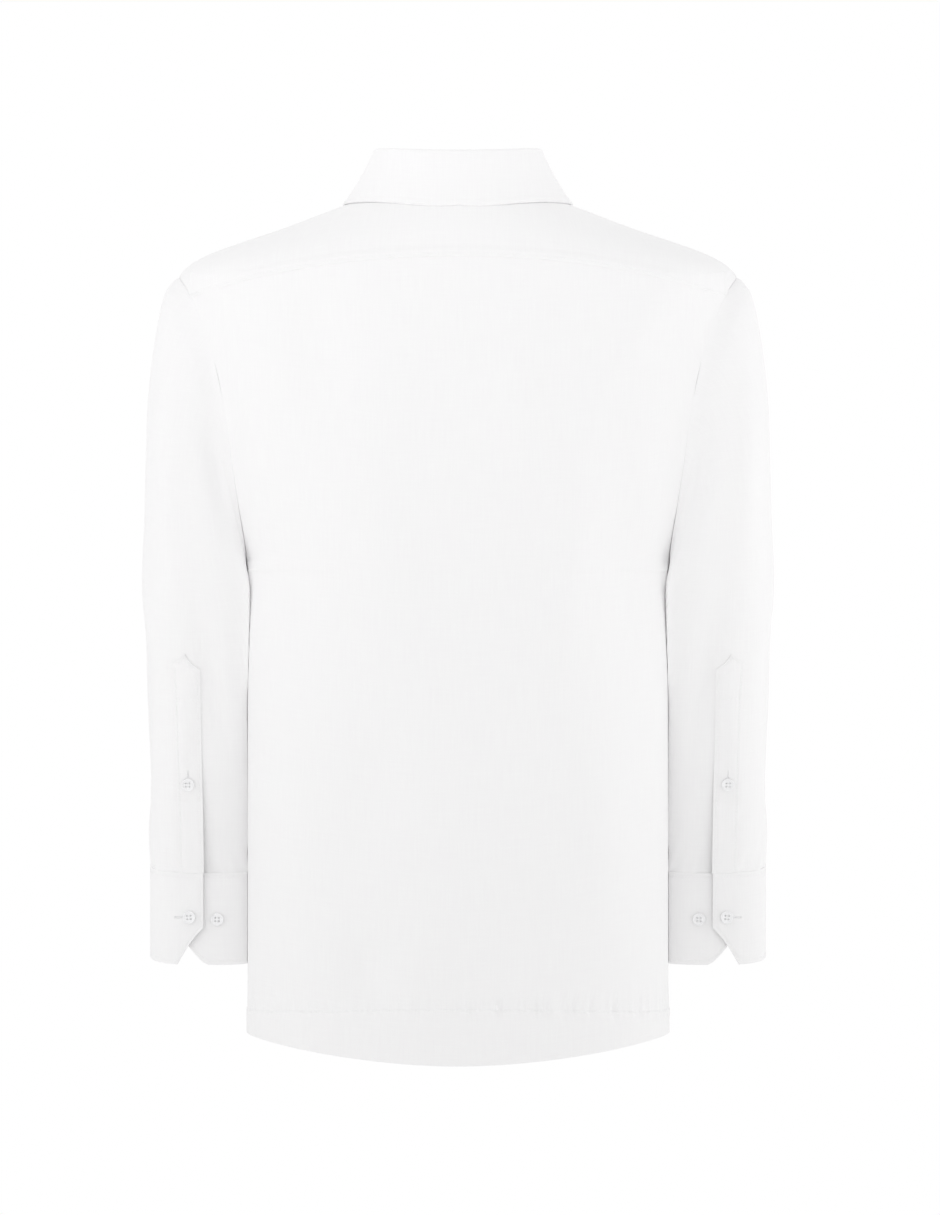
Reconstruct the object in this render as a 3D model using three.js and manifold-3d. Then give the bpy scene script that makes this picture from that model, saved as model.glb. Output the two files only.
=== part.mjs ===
// Long-sleeved guayabera shirt, filled out as it is worn and empty inside.
// Millimetres, +Z up. The front faces -Y and the wearer's left is +X.
// The origin is the middle of the neck opening, level with the shoulders beside the collar.
//
// Each piece of cloth is a grid of points on the garment's surface, given a wall. A grid's rows climb
// and its columns run anticlockwise seen from above, so that its wall always faces outwards.

import * as THREE from "three";
import Module from "manifold-3d";
import { mergeVertices } from "three/addons/utils/BufferGeometryUtils.js";

// ---------------------------------------------------------------- driving dimensions

const cloth = 1.2; // one layer of linen
const banded = 1.5; // button band and sleeve plackets, folded double
const stiffened = 2; // collar and cuffs, two layers with interfacing
const seam = 0.3; // gap left between two pieces that are sewn together
const trim = seam / 2; // what each of the two gives up
const armTrim = 0.4; // the same where the sleeve turns away from the shoulder
const bandTrim = 0.8; // the button band stops this far below the collar stand

const neck = { halfWidth: 76, behind: 64, before: 66, level: 8 };
const armhole = { top: -65, bottom: -330, halfDepth: 64, fullness: 0.68 }; // squarer below its middle
const backYoke = { middle: -51, end: -84.4, arch: 2.15 };
const frontYoke = { neckX: 68, bulge: 4 };
const hem = { side: -743, middle: -765.5, halfWidth: 189, arc: 1.8 };
const lap = 15; // how far each front passes the centre line
const frontLap = cloth + seam; // the right front lies this far under the left
const stand = { behind: 30, beside: 34.5, before: 30, lean: 4, lift: 0.8 };
const standPass = { by: stiffened + 0.4, from: 138 }; // outwards at the front, from this turn on
const leaf = { end: 176, root: 0.8, fold: 7, lean: 0.5, roll: 2.4, rest: 2.6 };
const cuff = { top: -601.6, bottom: -684, proud: 0.6, mitreTop: -651 };
const cuffEdge = { over: 229.5, overMitre: 253, underMitre: 225, under: 253 }; // distance from the centre
const cuffPass = { by: stiffened + 0.6, from: 375, to: 420 }; // inwards at the under end
const placketPoint = 0.72; // height of the placket's shoulders, as a share of its last row
const placketLift = 0.45; // clear of the sleeve, which curves more under the placket's edges
const button = { radius: 5.8, thick: 2.4, rim: 1.2, dish: 0.7, hole: 0.75, pitch: 1.5 };
const buttonEdge = { foot: 0.8, taper: 0.3, slope: 0.4 };

// Level sections of the body: half width, depth behind and in front of the shoulder line, roundness.
// Between the shoulder point and the underarm the width follows from the armhole.
const bodySections = [
  { z: 8, wide: 76, behind: 64, before: 12, round: 2 },
  { z: -1, wide: 104, behind: 73, before: 25, round: 2 },
  { z: -20, wide: 154, behind: 86, before: 41, round: 2.05 },
  { z: -46, wide: 227, behind: 98, before: 58, round: 2.1 },
  { z: -65, wide: 251, behind: 104, before: 70, round: 2.15 },
  { z: -100, wide: 250, behind: 113, before: 88, round: 2.2 },
  { z: -150, wide: 240, behind: 123, before: 106, round: 2.25 },
  { z: -200, wide: 225, behind: 130, before: 118, round: 2.3 },
  { z: -260, wide: 205, behind: 134, before: 128, round: 2.35 },
  { z: -330, wide: 190.5, behind: 137, before: 134, round: 2.4 },
  { z: -420, wide: 189, behind: 138, before: 137, round: 2.4 },
  { z: -600, wide: 189, behind: 139, before: 139, round: 2.4 },
  { z: -790, wide: 189.5, behind: 141, before: 141, round: 2.4 },
];

// The armhole seam's distance from the centre line.
const armholeLine = [
  { z: -65, x: 251 },
  { z: -85, x: 238 },
  { z: -115, x: 225 },
  { z: -150, x: 215 },
  { z: -190, x: 207 },
  { z: -235, x: 201 },
  { z: -270, x: 195.8 },
  { z: -300, x: 190.8 },
  { z: -318, x: 188.9 },
  { z: -330, x: 190.5 },
];

// Rings of the sleeve from armhole to cuff: the end beside the body, the outer end, the middle's place
// from front to back, the half depth, how far the front is higher because the forearm hangs a little
// forward, and how much of the armhole's own curve is left in the ring.
const sleeveRings = [
  { inX: 191.8, inZ: -330.3, outX: 251.3, outZ: -65.2, midY: 0, deep: 64, rise: 0, curve: 1 },
  { inX: 191.2, inZ: -335, outX: 256.5, outZ: -69, midY: 0, deep: 65.5, rise: 0, curve: 0.9 },
  { inX: 188.8, inZ: -340.5, outX: 264, outZ: -80, midY: 0, deep: 68, rise: 0, curve: 0.7 },
  { inX: 185.4, inZ: -346.5, outX: 270, outZ: -104, midY: -2, deep: 70.5, rise: 0, curve: 0.45 },
  { inX: 182.2, inZ: -353.5, outX: 275.5, outZ: -140, midY: -4, deep: 72.5, rise: 0, curve: 0.25 },
  { inX: 179.2, inZ: -361.5, outX: 279.8, outZ: -180, midY: -7, deep: 73.5, rise: 0, curve: 0.1 },
  { inX: 176.8, inZ: -371, outX: 282.2, outZ: -228, midY: -12, deep: 74, rise: 0, curve: 0 },
  { inX: 174.8, inZ: -384, outX: 283, outZ: -290, midY: -18, deep: 73, rise: 0, curve: 0 },
  { inX: 173, inZ: -401, outX: 283, outZ: -350, midY: -24, deep: 71, rise: 0, curve: 0 },
  { inX: 172, inZ: -424.5, outX: 282.4, outZ: -392, midY: -30, deep: 68, rise: 0, curve: 0 },
  { inX: 172, inZ: -452, outX: 281.6, outZ: -440, midY: -35, deep: 63, rise: 2, curve: 0 },
  { inX: 172, inZ: -496, outX: 280.2, outZ: -492, midY: -37.5, deep: 56.5, rise: 6, curve: 0 },
  { inX: 172, inZ: -548, outX: 278.8, outZ: -547, midY: -39, deep: 48, rise: 11, curve: 0 },
  { inX: 172, inZ: -601, outX: 278, outZ: -601, midY: -40, deep: 38.5, rise: 16, curve: 0 },
];
const sleeveRound = 2.8;
const bodyClear = { sleeve: 1.6, cuff: 2 }; // between the body's side and what hangs against it

// The collar leaf's lower edge: where it lies round the neck, and how far out from the neck seam.
const leafEdge = [
  { share: 0, turn: 0, out: 16 },
  { share: 0.25, turn: 46, out: 20 },
  { share: 0.5, turn: 90, out: 27 },
  { share: 0.75, turn: 119, out: 28 },
  { share: 1, turn: 147, out: 29 },
];

const frontButtons = { first: -104, step: -88, count: 6 };
const sleeveButtons = { placketZ: -521, overZ: -641, overX: 242, underZ: -643, underX: 217 };
const standButtonZ = -42;
const buttonLift = 0.4;

const grid = { yokeHalf: 11, neckPart: 5, neckline: 4, lower: 7, upper: 9, yokeRows: 6 };
const collarParts = { stand: 40, leaf: 32 };
const sleeveParts = { before: 12, outside: 4, inside: 5, underBox: 10 };
const cuffParts = { mitre: 3, round: 18 };

// ---------------------------------------------------------------- small helpers

const degrees = THREE.MathUtils.degToRad;
const mix = THREE.MathUtils.lerp;
const signedPower = (value, power) => Math.sign(value) * Math.abs(value) ** power;
const count = (n) => [...Array(n).keys()];

// A smooth reading of one column of a table, with the slopes taken from the rows on either side.
function read(table, key, at, column) {
  const falling = table[0][key] > table.at(-1)[key];
  const past = (row) => (falling ? at < row[key] : at > row[key]);
  let k = 0;
  while (k < table.length - 2 && past(table[k + 1])) k += 1;
  const slope = (n) => {
    const before = table[Math.max(n - 1, 0)];
    const after = table[Math.min(n + 1, table.length - 1)];
    return (after[column] - before[column]) / (after[key] - before[key]);
  };
  const [a, b] = [table[k], table[k + 1]];
  const step = b[key] - a[key];
  const t = THREE.MathUtils.clamp((at - a[key]) / step, 0, 1);
  const rise = (b[column] - a[column]) / step;
  const limit = (s) => (s * rise <= 0 ? 0 : Math.sign(s) * Math.min(Math.abs(s), 3 * Math.abs(rise)));
  const [startSlope, endSlope] = [limit(slope(k)), limit(slope(k + 1))];
  const [t2, t3] = [t * t, t * t * t];
  return (
    (2 * t3 - 3 * t2 + 1) * a[column] +
    (t3 - 2 * t2 + t) * step * startSlope +
    (3 * t2 - 2 * t3) * b[column] +
    (t3 - t2) * step * endSlope
  );
}

// ---------------------------------------------------------------- the garment's surface

// The armhole seam. The angle is 0 under the arm, 180 degrees at the shoulder point, and positive behind.
function armholePoint(angle) {
  const middle = (armhole.top + armhole.bottom) / 2;
  const half = (armhole.top - armhole.bottom) / 2;
  const z = middle - half * Math.cos(angle);
  const y = armhole.halfDepth * signedPower(Math.sin(angle), Math.cos(angle) > 0 ? armhole.fullness : 1);
  return new THREE.Vector3(read(armholeLine, "z", z, "x"), y, z);
}

function armholeAngle(z) {
  const middle = (armhole.top + armhole.bottom) / 2;
  const half = (armhole.top - armhole.bottom) / 2;
  return Math.acos(THREE.MathUtils.clamp((middle - z) / half, -1, 1));
}

// The level section at a height, behind (side 1) or in front (side -1).
function section(z, side) {
  const deep = read(bodySections, "z", z, side > 0 ? "behind" : "before");
  const round = read(bodySections, "z", z, "round");
  if (z > armhole.top || z < armhole.bottom) {
    return { wide: read(bodySections, "z", z, "wide"), deep, round };
  }
  const edge = armholePoint(armholeAngle(z));
  return { wide: edge.x / (1 - (edge.y / deep) ** round) ** (1 / round), deep, round };
}

function onBody(turn, z, side) {
  const { wide, deep, round } = section(z, side);
  const x = wide * signedPower(Math.sin(turn), 2 / round);
  const y = side * deep * Math.abs(Math.cos(turn)) ** (2 / round);
  return new THREE.Vector3(x, y, z);
}

function turnAt(x, z, side) {
  const { wide, round } = section(z, side);
  return Math.sign(x) * Math.asin(Math.min(1, Math.abs(x) / wide) ** (round / 2));
}

// The height of the shoulders over a point of the plan.
const shoulderFloor = -200;

function heightOver(x, y) {
  let [high, low] = [neck.level, shoulderFloor];
  for (const _ of count(40)) {
    const z = (high + low) / 2;
    const { wide, deep, round } = section(z, y < 0 ? -1 : 1);
    const inside = (Math.abs(x) / wide) ** round + (Math.abs(y) / deep) ** round < 1;
    if (inside) low = z;
    else high = z;
  }
  return (high + low) / 2;
}

const onShoulder = (x, y) => new THREE.Vector3(x, y, heightOver(x, y));

// The neck seam: turn 0 at the centre back, 180 degrees at the centre front, positive on the left.
function neckPlan(turn) {
  const depth = Math.cos(turn) > 0 ? neck.behind : neck.before;
  return new THREE.Vector2(neck.halfWidth * Math.sin(turn), depth * Math.cos(turn));
}

function neckOut(turn) {
  const depth = Math.cos(turn) > 0 ? neck.behind : neck.before;
  return new THREE.Vector2(Math.sin(turn) / neck.halfWidth, Math.cos(turn) / depth).normalize();
}

function neckPoint(turn) {
  const { x, y } = neckPlan(turn);
  return onShoulder(x, y);
}

const hemHeight = (x) => mix(hem.middle, hem.side, Math.min(1, Math.abs(x) / hem.halfWidth) ** hem.arc);

// ---------------------------------------------------------------- seams shared by neighbours

// Columns across the back and the yoke: share runs from 1 at the left armhole to -1 at the right.
const yokeShares = count(2 * grid.yokeHalf + 1).map((j) => 1 - j / grid.yokeHalf);
const neckShare = grid.neckPart / grid.yokeHalf;
const yokeEndAngle = armholeAngle(backYoke.end);
const yokeEnd = armholePoint(yokeEndAngle);
const spreadAngle = degrees(60);

function backYokeSeam(share) {
  const x = (yokeEnd.x * Math.sin(share * spreadAngle)) / Math.sin(spreadAngle);
  const z = mix(backYoke.middle, backYoke.end, (Math.abs(x) / yokeEnd.x) ** backYoke.arch);
  return onBody(turnAt(x, z, 1), z, 1);
}

const frontSeamTurn = Math.PI - Math.asin(frontYoke.neckX / neck.halfWidth);

function frontYokeSeam(share) {
  const part = (share - neckShare) / (1 - neckShare);
  if (part >= 1) return armholePoint(-yokeEndAngle);
  const start = neckPlan(frontSeamTurn);
  const y = mix(start.y, -yokeEnd.y, part) - frontYoke.bulge * Math.sin(Math.PI * part);
  return onShoulder(mix(start.x, yokeEnd.x, part), y);
}

// The yoke's far edge: along the neck, then along the front seam.
function yokeFarEdge(share) {
  if (share <= neckShare) return neckPoint((share / neckShare) * frontSeamTurn);
  return frontYokeSeam(share);
}

// ---------------------------------------------------------------- grids of the body pieces

const mirrored = (points) =>
  points.map((row) => row.map(({ x, y, z }) => new THREE.Vector3(-x, y, z)).reverse());

function backGrid() {
  const lowerRows = count(grid.lower).map((i) =>
    yokeShares.map((share) => {
      const turn = (share * Math.PI) / 2;
      const bottom = hemHeight(onBody(turn, hem.side, 1).x);
      return onBody(turn, mix(bottom, armhole.bottom, i / grid.lower), 1);
    }),
  );
  const upperRows = count(grid.upper + 1).map((i) => {
    const edge = armholePoint((yokeEndAngle * i) / grid.upper);
    const edgeTurn = turnAt(edge.x, edge.z, 1);
    const climb = (edge.z - armhole.bottom) / (yokeEnd.z - armhole.bottom);
    return yokeShares.map((share) => {
      const top = backYokeSeam(share);
      const topShare = turnAt(top.x, top.z, 1) / turnAt(yokeEnd.x, yokeEnd.z, 1);
      const z = mix(armhole.bottom, top.z, climb);
      if (Math.abs(share) === 1) return new THREE.Vector3(share * edge.x, edge.y, edge.z);
      return onBody(mix(share, topShare, climb) * edgeTurn, z, 1);
    });
  });
  return [...lowerRows, ...upperRows];
}

function yokeGrid() {
  return count(grid.yokeRows + 1).map((i) => {
    const along = i / grid.yokeRows;
    const arm = armholePoint(yokeEndAngle + 2 * (Math.PI - yokeEndAngle) * along);
    return yokeShares.map((share) => {
      const side = Math.sign(share) || 1;
      const near = backYokeSeam(Math.abs(share));
      const far = yokeFarEdge(Math.abs(share));
      if (Math.abs(share) === 1) return new THREE.Vector3(side * arm.x, arm.y, arm.z);
      if (i === 0) return new THREE.Vector3(side * near.x, near.y, near.z);
      const reach = Math.max(0, (Math.abs(share) - neckShare) / (1 - neckShare)) ** 2;
      const x = mix(near.x, far.x, along) + reach * (arm.x - yokeEnd.x);
      const y = mix(near.y, far.y, along) + reach * (arm.y - mix(yokeEnd.y, -yokeEnd.y, along));
      return new THREE.Vector3(side * x, y, heightOver(x, y));
    });
  });
}

// The left front: three straight columns under the button band, then columns out to the side.
const bandColumns = [-lap, 0, lap];
const frontSpread = grid.neckline + grid.yokeHalf - grid.neckPart;

function frontTop(column) {
  if (column > grid.neckline) {
    return frontYokeSeam((column - grid.neckline + grid.neckPart) / grid.yokeHalf);
  }
  const start = Math.PI - Math.asin(lap / neck.halfWidth);
  return neckPoint(mix(start, frontSeamTurn, column / grid.neckline));
}

function frontGrid() {
  const bandPoint = (x, z) => onBody(turnAt(x, z, -1), z, -1);
  const sideColumns = count(frontSpread).map((k) => k + 1);
  const lowerRows = count(grid.lower).map((i) => {
    const band = bandColumns.map((x) => bandPoint(x, mix(hemHeight(x), armhole.bottom, i / grid.lower)));
    const sides = sideColumns.map((column) => {
      const start = turnAt(lap, armhole.bottom, -1);
      const turn = mix(start, Math.PI / 2, column / frontSpread);
      const bottom = hemHeight(onBody(turn, hem.side, -1).x);
      return onBody(turn, mix(bottom, armhole.bottom, i / grid.lower), -1);
    });
    return [...band, ...sides];
  });
  const upperRows = count(grid.upper + 1).map((i) => {
    const edge = armholePoint((-yokeEndAngle * i) / grid.upper);
    const edgeTurn = turnAt(edge.x, edge.z, -1);
    const climb = (edge.z - armhole.bottom) / (yokeEnd.z - armhole.bottom);
    const band = bandColumns.map((x) => {
      const top = neckPoint(Math.PI - Math.asin(Math.abs(x) / neck.halfWidth));
      return bandPoint(x, mix(armhole.bottom, top.z, climb));
    });
    const sides = sideColumns.map((column) => {
      if (column === frontSpread) return edge;
      const top = frontTop(column);
      const topStart = turnAt(lap, top.z, -1);
      const topEnd = turnAt(yokeEnd.x, yokeEnd.z, -1);
      const topShare = (turnAt(top.x, top.z, -1) - topStart) / (topEnd - topStart);
      const z = mix(armhole.bottom, top.z, climb);
      const start = turnAt(lap, z, -1);
      return onBody(mix(start, edgeTurn, mix(column / frontSpread, topShare, climb)), z, -1);
    });
    return [...band, ...sides];
  });
  return [...lowerRows, ...upperRows];
}

// ---------------------------------------------------------------- grids of collar, sleeve and cuff

const lapTurn = Math.asin(lap / neck.halfWidth);

// The left end of the stand passes outside the right end.
function standLap(turn) {
  return standPass.by * THREE.MathUtils.smoothstep(turn, degrees(standPass.from), Math.PI - lapTurn);
}

function standTop(turn) {
  const foot = neckPoint(turn);
  const out = neckOut(turn);
  const side = mix(stand.behind, stand.beside, Math.sin(turn) ** 2);
  const onward = THREE.MathUtils.smoothstep(Math.abs(turn), Math.PI / 2, Math.PI);
  const high = turn * turn < Math.PI ** 2 / 4 ? side : mix(stand.beside, stand.before, onward);
  return new THREE.Vector3(foot.x - out.x * stand.lean, foot.y - out.y * stand.lean, foot.z + high);
}

const ends = (from, to, parts) => count(parts + 1).map((k) => mix(from, to, k / parts));
const standTurns = ends(Math.PI + lapTurn, -Math.PI - lapTurn, collarParts.stand);

function standGrid() {
  return count(3).map((i) =>
    standTurns.map((turn) => {
      const foot = neckPoint(turn);
      foot.z += stand.lift;
      return foot.lerp(standTop(turn), i / 2);
    }),
  );
}

const leafTurns = ends(degrees(leaf.end), -degrees(leaf.end), collarParts.leaf);

// The leaf's middle surface: up from the stand, over the fold, and down to rest on the shoulders.
function leafGrid() {
  const sections = leafTurns.map((turn) => {
    const share = Math.abs(turn) / degrees(leaf.end);
    const out = neckOut(turn);
    const root = standTop(turn);
    const start = standLap(turn) - stiffened / 2;
    const at = (shift, climb) => {
      const away = start + shift;
      return new THREE.Vector3(root.x + out.x * away, root.y + out.y * away, root.z + climb);
    };
    const lowTurn = Math.sign(turn) * degrees(read(leafEdge, "share", share, "turn"));
    const lowOut = neckOut(lowTurn).multiplyScalar(read(leafEdge, "share", share, "out"));
    const low = neckPlan(lowTurn).add(lowOut);
    const edge = new THREE.Vector3(low.x, low.y, heightOver(low.x, low.y) + leaf.rest);
    const brow = at(leaf.roll * 2, leaf.fold - leaf.roll);
    const fall = [1 / 3, 2 / 3, 1].map((part) => brow.clone().lerp(edge, part));
    const rise = [at(0, leaf.root), at(leaf.lean, leaf.fold - leaf.roll), at(leaf.roll, leaf.fold)];
    return [...rise, brow, ...fall];
  });
  return sections[0].map((_, i) => sections.map((points) => points[i]));
}

// The sleeve's angle is 0 beside the body, 90 degrees behind and 180 degrees outside. At the armhole its
// columns meet the rows of the body and the yoke, and towards the cuff they turn to the placket's edges.
const placketAngles = [91.4, 99.9, 102.3, 112.4];
const spread = (from, to, parts) => count(parts).map((k) => mix(from, to, k / parts));
const sleeveAngles = [
  ...spread(360, 180, sleeveParts.before),
  ...spread(180, placketAngles[3], sleeveParts.outside),
  ...[...placketAngles].reverse(),
  ...spread(placketAngles[0], 0, sleeveParts.inside).slice(1),
].map(degrees);
const armholeAngles = [
  ...spread(2 * Math.PI, 2 * Math.PI - yokeEndAngle, grid.upper),
  ...spread(2 * Math.PI - yokeEndAngle, yokeEndAngle, grid.yokeRows),
  ...spread(yokeEndAngle, 0, grid.upper),
];
const placketStart = sleeveAngles.indexOf(degrees(placketAngles[3]));

function ringPoint(ring, angle) {
  const shares = [Math.cos(angle), Math.sin(angle)];
  const [across, along] = shares.map((share) => signedPower(share, 2 / sleeveRound));
  const x = mix(ring.outX, ring.inX, (1 + across) / 2);
  const z = mix(ring.outZ, ring.inZ, (1 + across) / 2) + (ring.rise * (1 - along)) / 2;
  return new THREE.Vector3(x, ring.midY + ring.deep * along, z);
}

// What hangs against the body follows its side, just clear of it.
function pressed(point, clear) {
  if (point.z > armhole.bottom) return point;
  const { wide, deep, round } = section(point.z, point.y);
  const beside = wide * Math.max(0, 1 - (Math.abs(point.y) / deep) ** round) ** (1 / round);
  point.x = Math.max(point.x, beside + clear);
  return point;
}

function sleeveGrid() {
  const first = { ...sleeveRings[0], inX: armholePoint(0).x };
  const rings = sleeveRings.map((ring) =>
    sleeveAngles.map((ownAngle, j) => {
      const angle = mix(ownAngle, armholeAngles[j], ring.curve);
      const own = armholePoint(angle).sub(ringPoint(first, angle));
      return pressed(ringPoint(ring, angle).addScaledVector(own, ring.curve), bodyClear.sleeve);
    }),
  );
  return rings.reverse();
}

// The cuff starts at its over end, runs round outside, in front and beside the body, and ends below.
const wrist = sleeveRings.at(-1);
const wristAngle = (x) => {
  const across = (2 * (x - wrist.outX)) / (wrist.inX - wrist.outX) - 1;
  return Math.acos(signedPower(across, sleeveRound / 2));
};
const cuffEnds = {
  over: wristAngle(cuffEdge.over),
  overMitre: wristAngle(cuffEdge.overMitre),
  underMitre: 2 * Math.PI + wristAngle(cuffEdge.underMitre),
  under: 2 * Math.PI + wristAngle(cuffEdge.under),
};
const cuffAngles = [
  ...spread(cuffEnds.over, cuffEnds.overMitre, cuffParts.mitre),
  ...spread(cuffEnds.overMitre, cuffEnds.underMitre, cuffParts.round),
  ...ends(cuffEnds.underMitre, cuffEnds.under, cuffParts.mitre),
].reverse();

function cuffBottom(angle) {
  const over = (angle - cuffEnds.over) / (cuffEnds.overMitre - cuffEnds.over);
  const under = (cuffEnds.under - angle) / (cuffEnds.under - cuffEnds.underMitre);
  return mix(cuff.mitreTop, cuff.bottom, Math.min(1, over, under));
}

function cuffLap(angle) {
  return -cuffPass.by * THREE.MathUtils.smoothstep(angle, degrees(cuffPass.from), degrees(cuffPass.to));
}

function cuffGrid() {
  return count(3).map((i) =>
    cuffAngles.map((angle) => {
      const point = ringPoint(wrist, angle);
      point.z += mix(cuffBottom(angle), cuff.top, i / 2) - wrist.inZ;
      return pressed(point, bodyClear.cuff);
    }),
  );
}

// ---------------------------------------------------------------- cloth walls

// The slope through a run of points at one of them, read one-sided but curved at an end of the run.
function slopeOf(run, at, closed) {
  const n = run.length;
  if (closed) return run[(at + 1) % n].clone().sub(run[(at + n - 1) % n]);
  if (at > 0 && at < n - 1) return run[at + 1].clone().sub(run[at - 1]);
  if (n === 2) return run[1].clone().sub(run[0]);
  const inward = at === 0 ? 1 : -1;
  const [a, b, c] = [run[at], run[at + inward], run[at + 2 * inward]];
  return new THREE.Vector3()
    .addScaledVector(a, -3 * inward)
    .addScaledVector(b, 4 * inward)
    .addScaledVector(c, -inward);
}

function normalsOf(points, closed) {
  const columns = points[0].map((_, j) => points.map((row) => row[j]));
  return points.map((row, i) =>
    row.map((_, j) => slopeOf(row, j, closed).cross(slopeOf(columns[j], i, false)).normalize()),
  );
}

// Pulls a grid's edge points back along its own rows and columns.
function trimmed(points, { left = 0, right = 0, bottom = 0, top = 0 }) {
  const pull = (from, to, by) => from.clone().addScaledVector(to.clone().sub(from).normalize(), by);
  const rows = points.map((row) => [...row]);
  const last = rows[0].length - 1;
  for (const row of rows) {
    row[0] = pull(row[0], row[1], left);
    row[last] = pull(row[last], row[last - 1], right);
  }
  rows[0] = rows[0].map((point, j) => pull(point, rows[1][j], bottom));
  rows[rows.length - 1] = rows.at(-1).map((point, j) => pull(point, rows.at(-2)[j], top));
  return rows;
}

// A closed wall between two distances from a grid. has says which cells there are.
function wall(points, { from, to, closed = false, shift = () => 0, has = () => true }) {
  const [rows, columns] = [points.length, points[0].length];
  const normals = normalsOf(points, closed);
  const layer = (distance) =>
    points.flatMap((row, i) =>
      row.map((point, j) => point.clone().addScaledVector(normals[i][j], distance + shift(i, j))),
    );
  const vertices = [...layer(to), ...layer(from)].flatMap(({ x, y, z }) => [x, y, z]);
  const across = closed ? columns : columns - 1;
  const there = (i, j) => {
    const column = closed ? (j + columns) % columns : j;
    return i >= 0 && i < rows - 1 && column >= 0 && column < across && has(i, column);
  };
  const outer = (i, j) => i * columns + (j % columns);
  const inner = (i, j) => rows * columns + outer(i, j);
  const faces = [];
  const quad = (a, b, c, d) => faces.push(a, b, c, a, c, d);
  for (const i of count(rows - 1)) {
    for (const j of count(across)) {
      if (!there(i, j)) continue;
      const corners = [[i, j], [i, j + 1], [i + 1, j + 1], [i + 1, j]];
      const beside = [[i - 1, j], [i, j + 1], [i + 1, j], [i, j - 1]];
      quad(...corners.map(([a, b]) => outer(a, b)));
      const [a, b, c, d] = corners.map(([row, column]) => inner(row, column));
      faces.push(a, c, b, a, d, c);
      beside.forEach(([row, column], side) => {
        if (there(row, column)) return;
        const [p, q] = [corners[side], corners[(side + 1) % 4]];
        quad(outer(...q), outer(...p), inner(...p), inner(...q));
      });
    }
  }
  const geometry = new THREE.BufferGeometry();
  geometry.setAttribute("position", new THREE.Float32BufferAttribute(vertices, 3));
  geometry.setIndex(faces);
  return geometry.toNonIndexed();
}

// ---------------------------------------------------------------- buttons

const wasm = await Module();
wasm.setup();

function solidOf(geometry) {
  const bare = geometry.clone();
  bare.deleteAttribute("normal");
  bare.deleteAttribute("uv");
  const merged = mergeVertices(bare, 1e-4);
  return new wasm.Manifold(
    new wasm.Mesh({
      numProp: 3,
      vertProperties: merged.attributes.position.array,
      triVerts: new Uint32Array(merged.index.array),
    }),
  );
}

// A rimmed disc with four holes, standing on the plane z = 0.
function buttonGeometry() {
  const { radius, thick, rim, dish, hole, pitch } = button;
  const { foot, taper, slope } = buttonEdge;
  const profile = [
    [0, 0],
    [radius - foot, 0],
    [radius, foot],
    [radius - taper, thick],
    [radius - rim, thick],
    [radius - rim - slope, thick - dish],
    [0, thick - dish],
  ].map(([r, z]) => new THREE.Vector2(r, z));
  const disc = new THREE.LatheGeometry(profile, 16).rotateX(Math.PI / 2);
  const drill = new THREE.CylinderGeometry(hole, hole, 3 * thick, 6).rotateX(Math.PI / 2);
  const drills = [-1, 1].flatMap((side) =>
    [-1, 1].map((row) => solidOf(drill.clone().translate((side * pitch) / 2, (row * pitch) / 2, 0))),
  );
  const { vertProperties, triVerts } = drills
    .reduce((rest, one) => rest.subtract(one), solidOf(disc))
    .getMesh();
  const geometry = new THREE.BufferGeometry();
  geometry.setAttribute("position", new THREE.Float32BufferAttribute(vertProperties, 3));
  geometry.setIndex([...triVerts]);
  return geometry.toNonIndexed();
}

// ---------------------------------------------------------------- the pieces

const shirt = new THREE.Group();
const linen = () => new THREE.MeshStandardMaterial({ color: 0xf3f2f0, roughness: 0.9, metalness: 0 });
const resin = () => new THREE.MeshStandardMaterial({ color: 0xf1efec, roughness: 0.35, metalness: 0 });

function add(name, geometry, material = linen()) {
  const mesh = new THREE.Mesh(geometry, material);
  mesh.name = name;
  mesh.geometry.computeVertexNormals();
  shirt.add(mesh);
}

const panel = { from: -cloth, to: 0 };

const back = trimmed(backGrid(), { left: trim, right: trim, top: 2 * trim });
add("back_panel", wall(back, panel));

const yoke = trimmed(yokeGrid(), { left: armTrim, right: armTrim, bottom: 2 * trim, top: trim });
add("back_yoke", wall(yoke, panel));

const front = trimmed(frontGrid(), { right: trim, top: trim });
add("front_left", wall(front, panel));

const rightBand = frontSpread;
const underLeft = (i, j) => (j >= rightBand ? -frontLap : 0);
add("front_right", wall(mirrored(front), { ...panel, shift: underLeft }));

const bandPoints = trimmed(front.map((row) => row.slice(0, bandColumns.length)), { top: bandTrim });
add("front_button_band", wall(bandPoints, { from: seam, to: seam + banded }));

const standShift = (i, j) => standLap(standTurns[j]);
const standPoints = standGrid();
add("collar_stand", wall(standPoints, { from: -stiffened, to: 0, shift: standShift }));
add("collar_leaf", wall(leafGrid(), { from: -stiffened / 2, to: stiffened / 2 }));

// Sleeves, slit from the cuff to the top of the placket's box, with the placket over the slit.
const sleeve = trimmed(sleeveGrid(), { bottom: trim, top: armTrim });
const slitColumn = placketStart + 1;
const slitRows = sleeveRings.length - 1 - sleeveParts.underBox;
const slit = (i, j) => !(i < slitRows && j === slitColumn);
const placketRows = slitRows + 1;

function placketGrid() {
  const rows = sleeve.slice(0, placketRows + 1).map((row) => row.slice(placketStart, placketStart + 4));
  const shoulder = (j) => rows.at(-2)[j].clone().lerp(rows.at(-1)[j], placketPoint);
  const peak = [shoulder(0), rows.at(-1)[1], rows.at(-1)[2], shoulder(3)];
  return [...rows.slice(0, -1), peak];
}

const cuffPoints = cuffGrid();
const cuffWall = { from: cuff.proud - stiffened, to: cuff.proud };

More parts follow.
